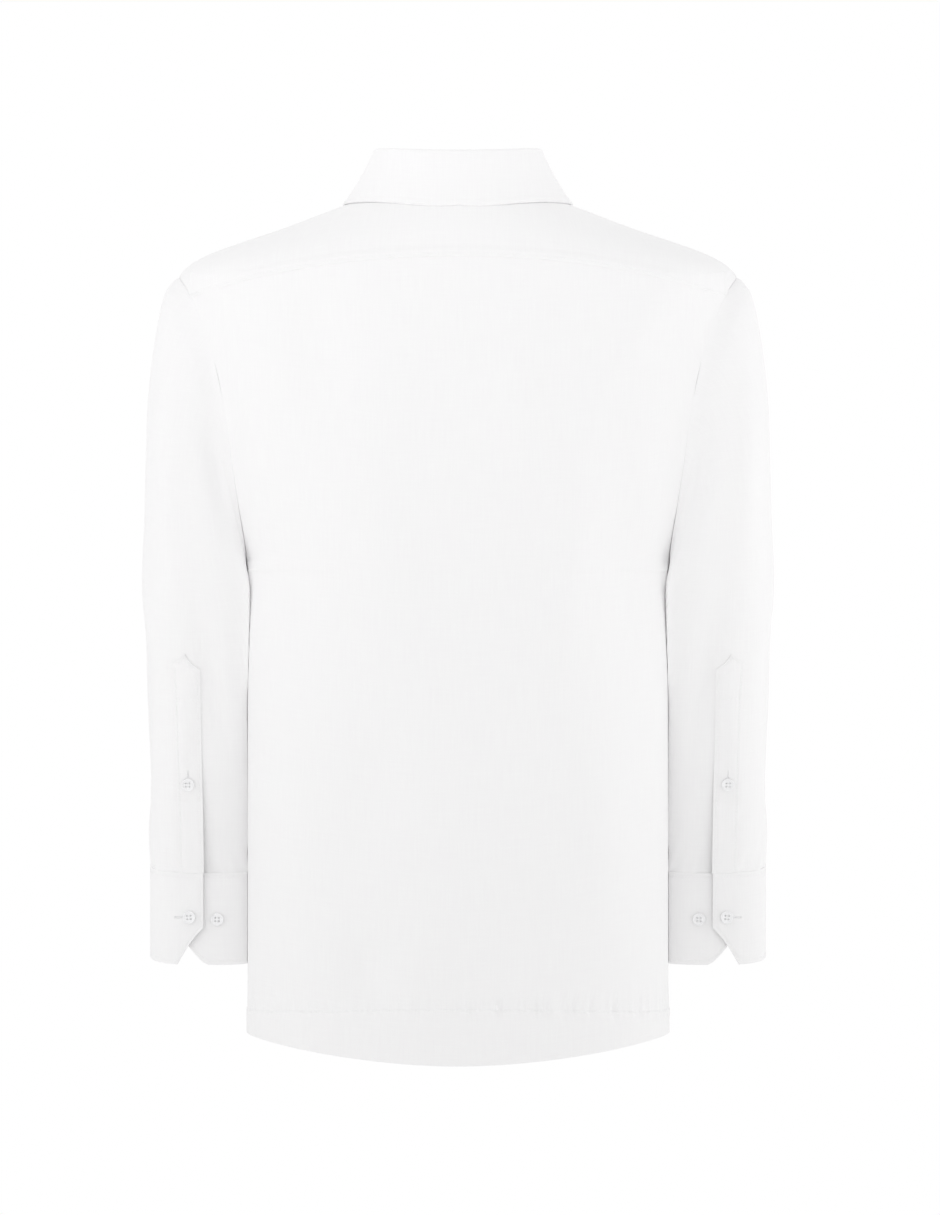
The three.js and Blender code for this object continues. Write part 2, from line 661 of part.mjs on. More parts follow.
function addArm(side, turned) {
  const face = (points) => (turned ? mirrored(points) : points);
  const flipColumn = (columns, j) => (turned ? columns - 1 - j : j);
  const sleeveColumns = sleeveAngles.length;
  const open = (i, j) => slit(i, turned ? (2 * sleeveColumns - 2 - j) % sleeveColumns : j);
  add(`sleeve_${side}`, wall(face(sleeve), { ...panel, closed: true, has: open }));
  add(`sleeve_placket_${side}`, wall(face(placketGrid()), { from: placketLift, to: placketLift + banded }));
  const shift = (i, j) => cuffLap(cuffAngles[flipColumn(cuffAngles.length, j)]);
  add(`cuff_${side}`, wall(face(cuffPoints), { ...cuffWall, shift }));
}

addArm("left", false);
addArm("right", true);

// Buttons lie on the outer face of what they are sewn through.
const upright = new THREE.Vector3(0, 0, 1);
const buttonShape = buttonGeometry();

// The place and the outward direction on a grid at a height, the column being a whole number or between two.
function spotOn(points, column, z) {
  const normals = normalsOf(points, false);
  const [j, part] = [Math.floor(column), column % 1];
  const between = (grid, i) => grid[i][j].clone().lerp(grid[i][j + 1], part);
  const i = count(points.length - 1).find((row) => between(points, row + 1).z >= z);
  const climb = (z - between(points, i).z) / (between(points, i + 1).z - between(points, i).z);
  const at = (grid) => between(grid, i).lerp(between(grid, i + 1), climb);
  return { place: at(points), facing: at(normals).normalize() };
}

function addButton(name, { place, facing }, lift, turned = false) {
  const centre = place.clone().addScaledVector(facing, lift + buttonLift);
  const normal = facing.clone();
  if (turned) {
    centre.x *= -1;
    normal.x *= -1;
  }
  const turn = new THREE.Quaternion().setFromUnitVectors(upright, normal);
  add(name, buttonShape.clone().applyQuaternion(turn).translate(...centre), resin());
}

for (const k of count(frontButtons.count)) {
  const spot = spotOn(bandPoints, 1, frontButtons.first + k * frontButtons.step);
  addButton(`button_front_${k + 1}`, spot, seam + banded);
}

const standCentre = standTurns.findIndex((turn) => turn < Math.PI);
const centreShare = (standTurns[standCentre - 1] - Math.PI) / (standTurns[0] - standTurns[1]);
const standSpot = spotOn(standPoints, standCentre - 1 + centreShare, standButtonZ);
addButton("button_stand", standSpot, standPass.by);

const cuffColumn = (angle) => {
  const j = cuffAngles.findIndex((other) => other <= angle) - 1;
  return j + (cuffAngles[j] - angle) / (cuffAngles[j] - cuffAngles[j + 1]);
};
const overAngle = wristAngle(sleeveButtons.overX);
const underAngle = 2 * Math.PI + wristAngle(sleeveButtons.underX);
const placketSpot = spotOn(sleeve, slitColumn + 0.5, sleeveButtons.placketZ);
const overSpot = spotOn(cuffPoints, cuffColumn(overAngle), sleeveButtons.overZ);
const underSpot = spotOn(cuffPoints, cuffColumn(underAngle), sleeveButtons.underZ);

for (const [side, turned] of [["left", false], ["right", true]]) {
  addButton(`button_placket_${side}`, placketSpot, placketLift + banded, turned);
  addButton(`button_cuff_over_${side}`, overSpot, cuff.proud, turned);
  addButton(`button_cuff_under_${side}`, underSpot, cuff.proud + cuffLap(underAngle), turned);
}

export default shirt;
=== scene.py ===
from math import pi, radians

import bpy
import numpy as np
from mathutils import Matrix, Vector


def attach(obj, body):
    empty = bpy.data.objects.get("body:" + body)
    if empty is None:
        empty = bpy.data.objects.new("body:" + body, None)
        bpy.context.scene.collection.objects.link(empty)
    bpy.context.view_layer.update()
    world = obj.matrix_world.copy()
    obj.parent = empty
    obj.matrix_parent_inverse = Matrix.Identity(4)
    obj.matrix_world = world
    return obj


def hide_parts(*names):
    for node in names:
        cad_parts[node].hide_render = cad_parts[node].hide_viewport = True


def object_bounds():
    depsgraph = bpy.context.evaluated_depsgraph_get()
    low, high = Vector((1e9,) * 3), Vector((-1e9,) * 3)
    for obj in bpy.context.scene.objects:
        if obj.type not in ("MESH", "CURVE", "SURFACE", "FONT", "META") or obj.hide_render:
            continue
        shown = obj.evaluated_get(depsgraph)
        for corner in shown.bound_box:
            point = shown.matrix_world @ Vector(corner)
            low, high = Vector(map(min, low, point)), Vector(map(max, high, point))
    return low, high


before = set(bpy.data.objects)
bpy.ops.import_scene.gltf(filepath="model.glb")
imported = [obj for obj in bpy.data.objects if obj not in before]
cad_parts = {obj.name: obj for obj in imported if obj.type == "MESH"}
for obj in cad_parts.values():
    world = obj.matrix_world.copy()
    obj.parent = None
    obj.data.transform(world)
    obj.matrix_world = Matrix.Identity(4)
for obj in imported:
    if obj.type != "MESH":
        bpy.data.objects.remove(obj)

# ---------------------------------------------------------------- studio
# The empty shirt hangs in the air as if worn, its back to a long lens level with its middle. A pale
# round floor lies well below the hem. A white surround, brighter from below, and five soft boxes light it.

mm = 0.001  # sizes below are in millimetres, as on a cutting table, and the scene is in metres
cad_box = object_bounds()
scene = bpy.context.scene
scene.view_settings.view_transform = "Standard"

camera_place = (-10.8, 6000, -362)
lens_length = 197.5
floor = {"height": -1450, "radius": 2600, "fade_from": 1.5, "fade_to": 2.5}
studio_white = "#FFFFFF"
floor_colour = "#F4F4F2"
surround = {"seen": 1.0, "above": 0.58, "below": 1.39}
softboxes = [
    # name, place, width, power in watts
    ("overhead", (200, 300, 1500), 1200, 4),
    ("top behind", (200, 1200, 1100), 1000, 2.2),
    ("top before", (200, -1200, 1100), 1000, 2.2),
    ("left", (2000, 1100, 0), 1400, 4.2),
    ("right", (-1900, 100, -200), 1400, 4.6),
]


def linear(code):
    """An sRGB hex colour as the linear values that sockets take."""
    parts = [int(code[k:k + 2], 16) / 255 for k in (1, 3, 5)]
    return tuple(p / 12.92 if p <= 0.04045 else ((p + 0.055) / 1.055) ** 2.4 for p in parts) + (1,)


def node(tree, kind, inputs=None, **settings):
    """Adds a node with its settings. Each input is a constant, or another node's socket to link."""
    made = tree.nodes.new(kind)
    for name, value in settings.items():
        setattr(made, name, value)
    for socket, value in (inputs or {}).items():
        if isinstance(value, bpy.types.NodeSocket):
            tree.links.new(value, made.inputs[socket])
        else:
            made.inputs[socket].default_value = value
    return made


camera = bpy.data.objects.new("camera", bpy.data.cameras.new("camera"))
camera.location = Vector(camera_place) * mm
camera.rotation_euler = (radians(90), 0, radians(180))
camera.data.lens = lens_length
camera.data.clip_end = 100
scene.collection.objects.link(camera)
scene.camera = camera

shirt_middle = (Vector(cad_box[0]) + Vector(cad_box[1])) / 2
for name, place, width, power in softboxes:
    box = bpy.data.objects.new(name, bpy.data.lights.new(name, "AREA"))
    box.location = Vector(place) * mm
    box.rotation_euler = (shirt_middle - box.location).to_track_quat("-Z", "Y").to_euler()
    box.data.size = width * mm
    box.data.energy = power
    box.visible_camera = False
    scene.collection.objects.link(box)

world = bpy.data.worlds.new("surround")
world.use_nodes = True
tree = world.node_tree
tree.nodes.clear()
is_seen = node(tree, "ShaderNodeLightPath").outputs["Is Camera Ray"]
sky = node(tree, "ShaderNodeTexCoord").outputs["Generated"]
height = node(tree, "ShaderNodeSeparateXYZ", {0: sky}).outputs["Z"]
from_below = {0: height, 1: -1, 2: 1, 3: surround["below"], 4: surround["above"]}
strength = node(tree, "ShaderNodeMapRange", from_below).outputs[0]
lighting, backdrop = (
    node(tree, "ShaderNodeBackground", {"Color": linear(studio_white), "Strength": how_strong}).outputs[0]
    for how_strong in (strength, surround["seen"])
)
surround_mix = node(tree, "ShaderNodeMixShader", {0: is_seen, 1: lighting, 2: backdrop}).outputs[0]
node(tree, "ShaderNodeOutputWorld", {"Surface": surround_mix})
scene.world = world


def material(name):
    """An empty material and its node tree."""
    made = bpy.data.materials.new(name)
    made.use_nodes = True
    made.node_tree.nodes.clear()
    return made, made.node_tree


# Matt paper, which fades into the surround before its edge.
paper, tree = material("floor paper, matt")
spot = node(tree, "ShaderNodeTexCoord").outputs["Object"]
reach = node(tree, "ShaderNodeVectorMath", {0: spot}, operation="LENGTH").outputs["Value"]
spread_out = {0: reach, 1: floor["fade_from"], 2: floor["fade_to"]}
fade = node(tree, "ShaderNodeMapRange", spread_out, interpolation_type="SMOOTHSTEP").outputs[0]
sheet_of_paper = node(tree, "ShaderNodeBsdfDiffuse", {"Color": linear(floor_colour)}).outputs[0]
nothing = node(tree, "ShaderNodeBsdfTransparent").outputs[0]
surface = node(tree, "ShaderNodeMixShader", {0: fade, 1: sheet_of_paper, 2: nothing}).outputs[0]
node(tree, "ShaderNodeOutputMaterial", {"Surface": surface})

bpy.ops.object.select_all(action="DESELECT")
disc = {"radius": floor["radius"] * mm, "location": (0, 0, floor["height"] * mm)}
bpy.ops.mesh.primitive_circle_add(vertices=96, fill_type="NGON", **disc)
bpy.ops.object.transform_apply(location=True)
ground = bpy.context.object
ground.name = "floor"
ground.data.materials.append(paper)

# ---------------------------------------------------------------- back panel
# One width of bleached linen from the yoke seam down to the curved hem, cut on the straight grain.
# The hem is turned up once and stitched in a nearly straight line, which draws small puckers.


def table(columns, rows):
    """A cutting table, as an array for each of its named columns."""
    return dict(zip(columns.split(), np.array(rows, float).T))


# Level sections of the body: half width, depth behind and before the shoulder line, and roundness.
# Between the shoulder point and the underarm the width follows from the armhole.
body = table("z wide behind before round", [
    (8, 76, 64, 12, 2),
    (-1, 104, 73, 25, 2),
    (-20, 154, 86, 41, 2.05),
    (-46, 227, 98, 58, 2.1),
    (-65, 251, 104, 70, 2.15),
    (-100, 250, 113, 88, 2.2),
    (-150, 240, 123, 106, 2.25),
    (-200, 225, 130, 118, 2.3),
    (-260, 205, 134, 128, 2.35),
    (-320, 191.7, 136.6, 133.1, 2.39),
    (-330, 190.5, 137, 134, 2.4),
    (-345, 189.6, 137.2, 134.6, 2.4),
    (-420, 189, 138, 137, 2.4),
    (-600, 189, 139, 139, 2.4),
    (-790, 189.5, 141, 141, 2.4),
])
armhole_line = table("z x", [
    (-65, 251), (-85, 238), (-115, 225), (-150, 215), (-190, 207),
    (-235, 201), (-270, 195.8), (-300, 190.8), (-318, 188.9), (-330, 190.5),
])
armhole = {"top": -65, "bottom": -330, "half_depth": 64, "fullness": 0.68}
neck = {"half_width": 76, "behind": 64, "before": 66, "level": 8}
yoke_seam = {"middle": -51, "end": -84.4, "arch": 2.15}
hem = {"side": -743, "middle": -765.5, "half_width": 189, "arc": 1.8}
hem_stitch = {"middle": -716, "side": -722}

# Soft folds in the hanging cloth, on each face of the garment: where the middle of each one is, its
# half length and half width, how far it stands out or in, and its lean from the upright in degrees.
fold_columns = "across z long wide out lean"
folds = {
    "behind": table(fold_columns, [
        (124, -135, 70, 26, -1.8, 6),
        (5, -186, 34, 30, -1.4, 70),
        (-58, -200, 80, 16, 1.2, 8),
        (-88, -150, 70, 24, -1.5, -24),
        (-168, -110, 60, 20, 1.3, -30),
        (-150, -345, 130, 26, -2.6, 4),
        (-98, -350, 90, 18, 1.4, -6),
        (-74, -282, 40, 20, -1.2, 20),
        (70, -300, 90, 30, 1.2, 14),
        (150, -300, 90, 22, -1.6, 8),
        (152, -560, 120, 24, 1.8, 2),
        (76, -520, 70, 26, -1.5, -8),
        (80, -682, 42, 24, -2.4, 10),
        (-66, -650, 60, 24, -1.6, -12),
        (-130, -560, 90, 22, 1.3, 6),
        (10, -590, 110, 34, 1.2, -5),
        (-20, -420, 80, 36, -1.2, 30),
        (212, -250, 60, 10, -1.6, 8),
        (-212, -265, 70, 11, -1.8, -8),
        (262, -230, 90, 12, 1.4, 2),
        (-262, -215, 80, 12, 1.4, -2),
        (222, -420, 60, 11, -1.3, 10),
        (-226, -440, 70, 12, -1.4, -8),
        (250, -500, 60, 10, 1.1, -6),
        (-254, -480, 50, 10, 1.1, 6),
        (252, -556, 30, 6, -1.2, 42),
        (-252, -552, 32, 6, -1.2, -40),
        (262, -575, 22, 5, -1, 24),
        (-264, -578, 20, 5, -1, -22),
        (240, -537, 16, 5, -0.9, 84),
        (-240, -538, 15, 5, -0.9, -84),
    ]),
    "before": table(fold_columns, [
        (-120, -140, 80, 24, -2.2, 14),
        (118, -150, 90, 22, -2, -12),
        (-60, -110, 50, 16, 1.4, 30),
        (70, -120, 60, 18, 1.5, -34),
        (-150, -320, 120, 24, -2.6, 3),
        (152, -335, 110, 26, -2.4, -5),
        (-80, -400, 140, 26, 2, -4),
        (84, -380, 120, 24, 1.8, 5),
        (-110, -560, 120, 24, -2.1, 4),
        (104, -590, 130, 28, -2, -6),
        (-55, -640, 70, 18, 1.4, 10),
        (60, -650, 80, 20, 1.5, -8),
        (-214, -280, 70, 12, -1.8, 8),
        (214, -260, 80, 12, -1.8, -8),
        (-250, -420, 80, 12, 1.3, -4),
        (248, -440, 70, 12, 1.3, 4),
        (-226, -520, 50, 10, -1.4, 12),
        (228, -505, 55, 10, -1.4, -12),
    ]),
    "left": table(fold_columns, [
        (30, -170, 60, 16, -1.6, 24),
        (-40, -200, 70, 18, -1.6, -18),
        (-60, -330, 80, 20, -2.4, 34),
        (10, -360, 70, 18, 1.8, -20),
        (-80, -430, 50, 16, -2.2, 58),
        (-20, -470, 80, 16, -1.8, 16),
        (-60, -545, 40, 9, -1.6, 40),
        (-34, -560, 34, 8, 1.2, -24),
    ]),
    "right": table(fold_columns, [
        (24, -180, 70, 16, -1.6, 18),
        (-44, -190, 60, 18, -1.5, -22),
        (-56, -345, 70, 20, -2.3, 30),
        (4, -350, 80, 18, 1.7, -16),
        (-82, -420, 56, 16, -2.3, 52),
        (-24, -480, 70, 16, -1.7, 20),
        (-64, -540, 38, 9, -1.5, 36),
        (-30, -566, 30, 8, 1.2, -30),
    ]),
}
fold_faces = {  # the axis a face looks along, its sign, and where its folds start and are full
    "behind": (1, 1, -12, 40),
    "before": (1, -1, 12, 50),
    "left": (0, 1, 236, 262),
    "right": (0, -1, 236, 262),
}

linen_white = "#F5F5F5"
linen_shade = "#F2F1F2"
cotton_white = "#FCFCFC"
cotton_shade = "#F3F3F4"
weave_pitch = 0.8  # two to three threads drawn as one, because single ones are too fine to show
slub = {"width": 1.1, "length": 34}
relief = {"weave": 0.05, "slub": 0.04, "ply": 0.05}
panel_wall = 0.9
hem_turn = {"lift": 0.9, "blend": 3, "groove": 0.25, "groove_half": 1.1}
hem_rows = {"near": 5, "above": 30, "parts": [14, 8, 8, 14, 62]}  # the grid is finer beside the stitching
hem_pucker = {"deep": 1.5, "pitch": 13, "above": 15, "below": 7, "seed": 4}
hem_fullest = {"x": -60, "half": 110, "least": 0.4}  # where the puckers are deepest
seam_roll = {"by": 0.15, "over": 2.5}
crease_fill = table("z x by", [  # what the cloth stands out by in the crease beside each sleeve
    (-65, 251, 0), (-85, 238, 4), (-115, 225, 5), (-150, 215, 5), (-190, 207, 5),
    (-235, 201, 5), (-270, 195.8, 6), (-300, 190.8, 9), (-318, 188.6, 15), (-330, 186.8, 20),
    (-350, 186, 15), (-420, 187.5, 9), (-520, 188.5, 6), (-700, 189, 4), (-770, 189, 3),
])
crease = {"over": 6, "from": 8, "full": 30}
fold_depth = {"behind": 3.2, "before": 3, "left": 1.5, "right": 1.5}
pucker_waves = (0.62, 0.8, 1, 1.35, 1.9, 2.8)  # shares of the pitch, laid over each other
tuck = {"under": 7, "in": 1.1}
tuck_in_cuff = {"under": 5, "in": 0.2}
thread = {"pitch": 3.1, "length": 2.3, "radius": 0.27}


def mix(a, b, part):
    return a + (b - a) * part


def ease(value, start, end):
    """0 before start and 1 past end, with a smooth turn between them."""
    part = np.clip((value - start) / (end - start), 0, 1)
    return part * part * (3 - 2 * part)


def signed_power(value, power):
    return np.sign(value) * np.abs(value) ** power


def xyz(x, y, z):
    return np.stack(np.broadcast_arrays(x, y, z), -1).astype(float)


def read(rows, at, column, key="z"):
    """One column of a table, read between its rows on a smooth curve that doesn't overshoot."""
    x, y = rows[key], rows[column]
    if x[0] > x[-1]:
        x, y = x[::-1], y[::-1]
    rise = np.diff(y) / np.diff(x)
    ends = np.append(y[1:], y[-1]) - np.insert(y[:-1], 0, y[0])
    slope = ends / (np.append(x[1:], x[-1]) - np.insert(x[:-1], 0, x[0]))
    at = np.clip(at, x[0], x[-1])
    k = np.clip(np.searchsorted(x, at, side="right") - 1, 0, len(x) - 2)
    step, chord = np.diff(x)[k], rise[k]
    limit = 3 * np.abs(chord)
    start, end = (np.clip(slope[k + n], -limit, limit) * (slope[k + n] * chord > 0) for n in (0, 1))
    t = (at - x[k]) / step
    kept = (2 * t**3 - 3 * t**2 + 1) * y[k] + (3 * t**2 - 2 * t**3) * y[k + 1]
    return kept + (t**3 - 2 * t**2 + t) * step * start + (t**3 - t**2) * step * end


def spaced(knots, parts):
    """Values from the first knot to the last, with the given number of steps between each two."""
    runs = [np.linspace(a, b, n, endpoint=False) for a, b, n in zip(knots, knots[1:], parts)]
    return np.concatenate([*runs, [knots[-1]]])


def armhole_point(angle):
    """On the armhole seam: angle 0 is under the arm, pi the shoulder point, and positive is behind."""
    middle = (armhole["top"] + armhole["bottom"]) / 2
    z = middle - (armhole["top"] - middle) * np.cos(angle)
    power = np.where(np.cos(angle) > 0, armhole["fullness"], 1)
    y = armhole["half_depth"] * signed_power(np.sin(angle), power)
    return xyz(read(armhole_line, z, "x"), y, z)


def armhole_angle(z):
    middle = (armhole["top"] + armhole["bottom"]) / 2
    return np.arccos(np.clip((middle - z) / (armhole["top"] - middle), -1, 1))


def section(z, side):
    """Half width, depth and roundness of the body at a height, behind (side 1) or before (-1)."""
    z = np.asarray(z, float)
    deep = np.where(np.asarray(side) > 0, read(body, z, "behind"), read(body, z, "before"))
    roundness = read(body, z, "round")
    edge = armhole_point(armhole_angle(z))
    beside = edge[..., 0] / (1 - (edge[..., 1] / deep) ** roundness) ** (1 / roundness)
    level = (z <= armhole["top"]) & (z >= armhole["bottom"])
    return np.where(level, beside, read(body, z, "wide")), deep, roundness


def on_body(turn, z, side):
    """On the body, with turn 0 at the middle of the back or front and a quarter turn at the side."""
    wide, deep, roundness = section(z, side)
    x = wide * signed_power(np.sin(turn), 2 / roundness)
    return xyz(x, side * deep * np.abs(np.cos(turn)) ** (2 / roundness), z)


def turn_at(x, z, side):
    wide, _, roundness = section(z, side)
    return np.sign(x) * np.arcsin(np.clip(np.abs(x) / wide, 0, 1) ** (roundness / 2))


def hem_height(x):
    share = np.minimum(1, np.abs(x) / hem["half_width"])
    return mix(hem["middle"], hem["side"], share ** hem["arc"])


def hem_stitch_height(x):
    return mix(hem_stitch["middle"], hem_stitch["side"], (x / hem["half_width"]) ** 2)


def levels_to_underarm(x):
    """The heights of a panel's rows from the hem up, for columns that start at these places across."""
    low, stitched = hem_height(x), hem_stitch_height(x)
    near = [stitched - hem_rows["near"], stitched, stitched + hem_rows["near"]]
    top = np.full_like(low, armhole["bottom"])
    return spaced([low, *near, stitched + hem_rows["above"], top], hem_rows["parts"])[:-1]


yoke_end_angle = armhole_angle(yoke_seam["end"])
yoke_end = armhole_point(yoke_end_angle)


def back_yoke_seam(share):
    x = yoke_end[0] * np.sin(share * pi / 3) / np.sin(pi / 3)
    z = mix(yoke_seam["middle"], yoke_seam["end"], np.abs(x / yoke_end[0]) ** yoke_seam["arch"])
    return on_body(turn_at(x, z, 1), z, 1)


def folded(points):
    """Presses the soft folds into cloth, by place alone, so that pieces sewn together stay together."""
    moved = points.copy()
    for face, (axis, sign, start, full) in fold_faces.items():
        shown = ease(sign * points[..., axis], start, full)
        rows = folds[face]
        for across, z, long, wide, out, lean in zip(*(rows[name] for name in fold_columns.split())):
            side, up = points[..., 1 - axis] - across, points[..., 2] - z
            run = up * np.cos(radians(lean)) + side * np.sin(radians(lean))
            off = side * np.cos(radians(lean)) - up * np.sin(radians(lean))
            shape = np.exp(-(run / long) ** 2 - (off / wide) ** 2)
            moved[..., axis] += sign * fold_depth[face] * out * shown * shape
    x, y, z = np.moveaxis(points, -1, 0)
    beside = np.exp(-np.abs(np.abs(x) - read(crease_fill, z, "x")) / crease["over"])
    beside = beside * ease(np.abs(y), crease["from"], crease["full"])
    moved[..., 1] += np.sign(y) * read(crease_fill, z, "by") * beside
    return moved


def outward(points, closed=False):
    """Outward directions of a grid whose rows climb and whose columns run anticlockwise from above."""
    along = np.gradient(points, axis=1, edge_order=2)
    if closed:
        along = np.roll(points, -1, 1) - np.roll(points, 1, 1)
    facing = np.cross(along, np.gradient(points, axis=0, edge_order=2))
    return facing / np.linalg.norm(facing, axis=-1, keepdims=True)


def lifted(points, by, closed=False):
    return points + outward(points, closed) * np.asarray(by)[..., None]


def away_from(points, axis, end):
    """How far each point is from one edge of its grid, measured along the cloth."""
    grid = np.flip(points, axis) if end else points
    lengths = np.linalg.norm(np.diff(grid, axis=axis), axis=-1)
    first = np.zeros_like(np.take(lengths, [0], axis))
    far = np.cumsum(np.concatenate([first, lengths], axis), axis)
    return np.flip(far, axis) if end else far


def from_sides(points):
    """How far each point is from the nearer side of its grid."""
    return np.minimum(away_from(points, 1, False), away_from(points, 1, True))


def rolled(points, axis, end):
    """The dip beside a seam, where the cloth rolls in to its stitching."""
    near = np.clip(1 - away_from(points, axis, end) / seam_roll["over"], 0, 1)
    return -seam_roll["by"] * near**2


def groove(away, deep, half):
    """The dent that a line of stitching pulls into the cloth."""
    return deep * np.exp(-(away / half) ** 2)


def puckers(along, away, deep, pitch, above, below, seed):
    """Small uneven gathers on both sides of a stitched line."""
    chance = np.random.default_rng(seed)
    wave = np.zeros_like(along)
    for share in pucker_waves:
        phase, size = chance.uniform(0, 2 * pi), chance.uniform(0.4, 1)
        wave += size * np.sin(2 * pi * along / (pitch * share) + phase)
    reach = np.where(away > 0, above, below)
    return deep / 2 * wave * np.exp(-(away / reach) ** 2)


def hem_relief(points, width_along):
    """The turned-up hem stands a little proud below its stitching, which dips and puckers."""
    away = points[..., 2] - hem_stitch_height(points[..., 0])
    turned = hem_turn["lift"] * ease(-away, -hem_turn["blend"] / 2, hem_turn["blend"] / 2)
    dent = groove(away, hem_turn["groove"], hem_turn["groove_half"])
    fullest = np.exp(-((points[..., 0] - hem_fullest["x"]) / hem_fullest["half"]) ** 2)
    drawn = puckers(width_along, away, **hem_pucker) * mix(hem_fullest["least"], 1, fullest)
    return turned - dent + drawn


# Bleached linen in plain weave. Uneven yarn shows as faint streaks up and across the matt cloth,
# and the short fibres on it give a little sheen where it turns away.
linen, tree = material("bleached linen, plain weave")
laid = node(tree, "ShaderNodeUVMap", uv_map="grain").outputs[0]
threads_on = node(tree, "ShaderNodeVectorMath", {0: laid, 3: pi / (weave_pitch * mm)}, operation="SCALE")
counted = node(tree, "ShaderNodeSeparateXYZ", {0: threads_on.outputs[0]}).outputs
warp_wave, weft_wave = (
    node(tree, "ShaderNodeMath", {0: counted[k]}, operation="SINE").outputs[0] for k in (0, 1)
)
crossing = node(tree, "ShaderNodeMath", {0: warp_wave, 1: weft_wave}, operation="MULTIPLY").outputs[0]
yarns = []
for wave, turn in ((warp_wave, 0.5), (weft_wave, -0.5)):
    round_top = node(tree, "ShaderNodeMath", {0: wave}, operation="ABSOLUTE").outputs[0]
    climb = node(tree, "ShaderNodeMath", {0: crossing, 1: turn, 2: 0.5}, operation="MULTIPLY_ADD")
    yarn = node(tree, "ShaderNodeMath", {0: round_top, 1: climb.outputs[0]}, operation="MULTIPLY")
    yarns.append(yarn.outputs[0])
woven = node(tree, "ShaderNodeMath", {0: yarns[0], 1: yarns[1]}, operation="MAXIMUM").outputs[0]
streaks = []
for across, along in ((slub["width"], slub["length"]), (slub["length"], slub["width"])):
    scale = (1 / (across * mm), 1 / (along * mm), 1)
    drawn = node(tree, "ShaderNodeMapping", {"Vector": laid, "Scale": scale}).outputs[0]
    uneven = {"Vector": drawn, "Scale": 1, "Detail": 2, "Roughness": 0.6}
    streaks.append(node(tree, "ShaderNodeTexNoise", uneven).outputs["Fac"])
thick_yarn = node(tree, "ShaderNodeMix", {0: 0.4, 2: streaks[0], 3: streaks[1]}).outputs[0]
tone = node(tree, "ShaderNodeMapRange", {0: thick_yarn, 1: 0.3, 2: 0.7}).outputs[0]
colours = {0: tone, 6: linear(linen_shade), 7: linear(linen_white)}
cloth_colour = node(tree, "ShaderNodeMix", colours, data_type="RGBA").outputs[2]
slub_bump = node(tree, "ShaderNodeBump", {
    "Strength": 1, "Distance": relief["slub"] * mm, "Height": thick_yarn,
}).outputs[0]
weave_bump = node(tree, "ShaderNodeBump", {
    "Strength": 1, "Distance": relief["weave"] * mm, "Height": woven, "Normal": slub_bump,
}).outputs[0]
cloth_shader = node(tree, "ShaderNodeBsdfPrincipled", {
    "Base Color": cloth_colour,
    "Roughness": 0.88,
    "Specular IOR Level": 0.25,
    "Sheen Weight": 0.3,
    "Sheen Roughness": 0.5,
    "Normal": weave_bump,
})
node(tree, "ShaderNodeOutputMaterial", {"Surface": cloth_shader.outputs[0]})

# White sewing cotton, twisted and mercerised: a shade brighter and smoother than the linen under it.
cotton, tree = material("sewing cotton, mercerised")
place = node(tree, "ShaderNodeTexCoord").outputs["Object"]
fibres = node(tree, "ShaderNodeTexNoise", {"Vector": place, "Scale": 2200, "Detail": 1}).outputs["Fac"]
colours = {0: fibres, 6: linear(cotton_shade), 7: linear(cotton_white)}
cotton_colour = node(tree, "ShaderNodeMix", colours, data_type="RGBA").outputs[2]
twist = {"Strength": 0.5, "Distance": relief["ply"] * mm, "Height": fibres}
ply = node(tree, "ShaderNodeBump", twist).outputs[0]
cotton_shader = node(tree, "ShaderNodeBsdfPrincipled", {
    "Base Color": cotton_colour, "Roughness": 0.7, "Specular IOR Level": 0.3, "Normal": ply,
})
node(tree, "ShaderNodeOutputMaterial", {"Surface": cotton_shader.outputs[0]})


def only(piece):
    """Selects one object alone, for the operators that act on all that is selected."""
    bpy.ops.object.select_all(action="DESELECT")
    piece.select_set(True)
    bpy.context.view_layer.objects.active = piece


def mesh_piece(name, vertices, faces, finish):
    """A new piece that goes with the shirt, from points in millimetres."""
    mesh = bpy.data.meshes.new(name)
    mesh.from_pydata((np.asarray(vertices) * mm).tolist(), [], np.asarray(faces).tolist())
    mesh.materials.append(finish)
    piece = bpy.data.objects.new(name, mesh)
    scene.collection.objects.link(piece)
    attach(piece, "root")
    return piece


def grain(points, closed, middle):
    """Each point's place on the flat cloth, along the weft and the warp."""
    laid_out = np.concatenate([points, points[:, :1]], 1) if closed else points
    weft = away_from(laid_out, 1, False)
    return np.stack([weft - weft[:, [middle]], away_from(laid_out, 0, False)], -1)


def cloth(node_name, points, wall, closed=False, middle=None, gone=None, edge=0):
    """Makes a piece of cloth from the points of its outer face and gives it its wall, inwards."""
    rows, columns = points.shape[:2]
    i, j = np.mgrid[0:rows - 1, 0:columns if closed else columns - 1].reshape(2, -1)
    if gone is not None:
        i, j = i[~gone(i, j)], j[~gone(i, j)]
    corners = [(i, j), (i, j + 1), (i + 1, j + 1), (i + 1, j)]
    faces = np.stack([row * columns + column % columns for row, column in corners], 1)
    piece = mesh_piece(f"{node_name}_cloth", points.reshape(-1, 3), faces, linen)
    flat = grain(points, closed, columns // 2 if middle is None else middle)
    layer = piece.data.uv_layers.new(name="grain")
    layer.data.foreach_set("uv", (np.stack([flat[a, b] for a, b in corners], 1) * mm).ravel())
    only(piece)
    solid = piece.modifiers.new("wall", "SOLIDIFY")
    solid.thickness = wall * mm
    solid.offset = -1
    bpy.ops.object.modifier_apply(modifier="wall")
    if edge:
        soft = piece.modifiers.new("edge", "BEVEL")
        soft.width = edge * mm
        soft.segments = 2
        soft.angle_limit = radians(60)
        bpy.ops.object.modifier_apply(modifier="edge")
    bpy.ops.object.shade_smooth_by_angle(angle=radians(50))
    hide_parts(node_name)
    return piece


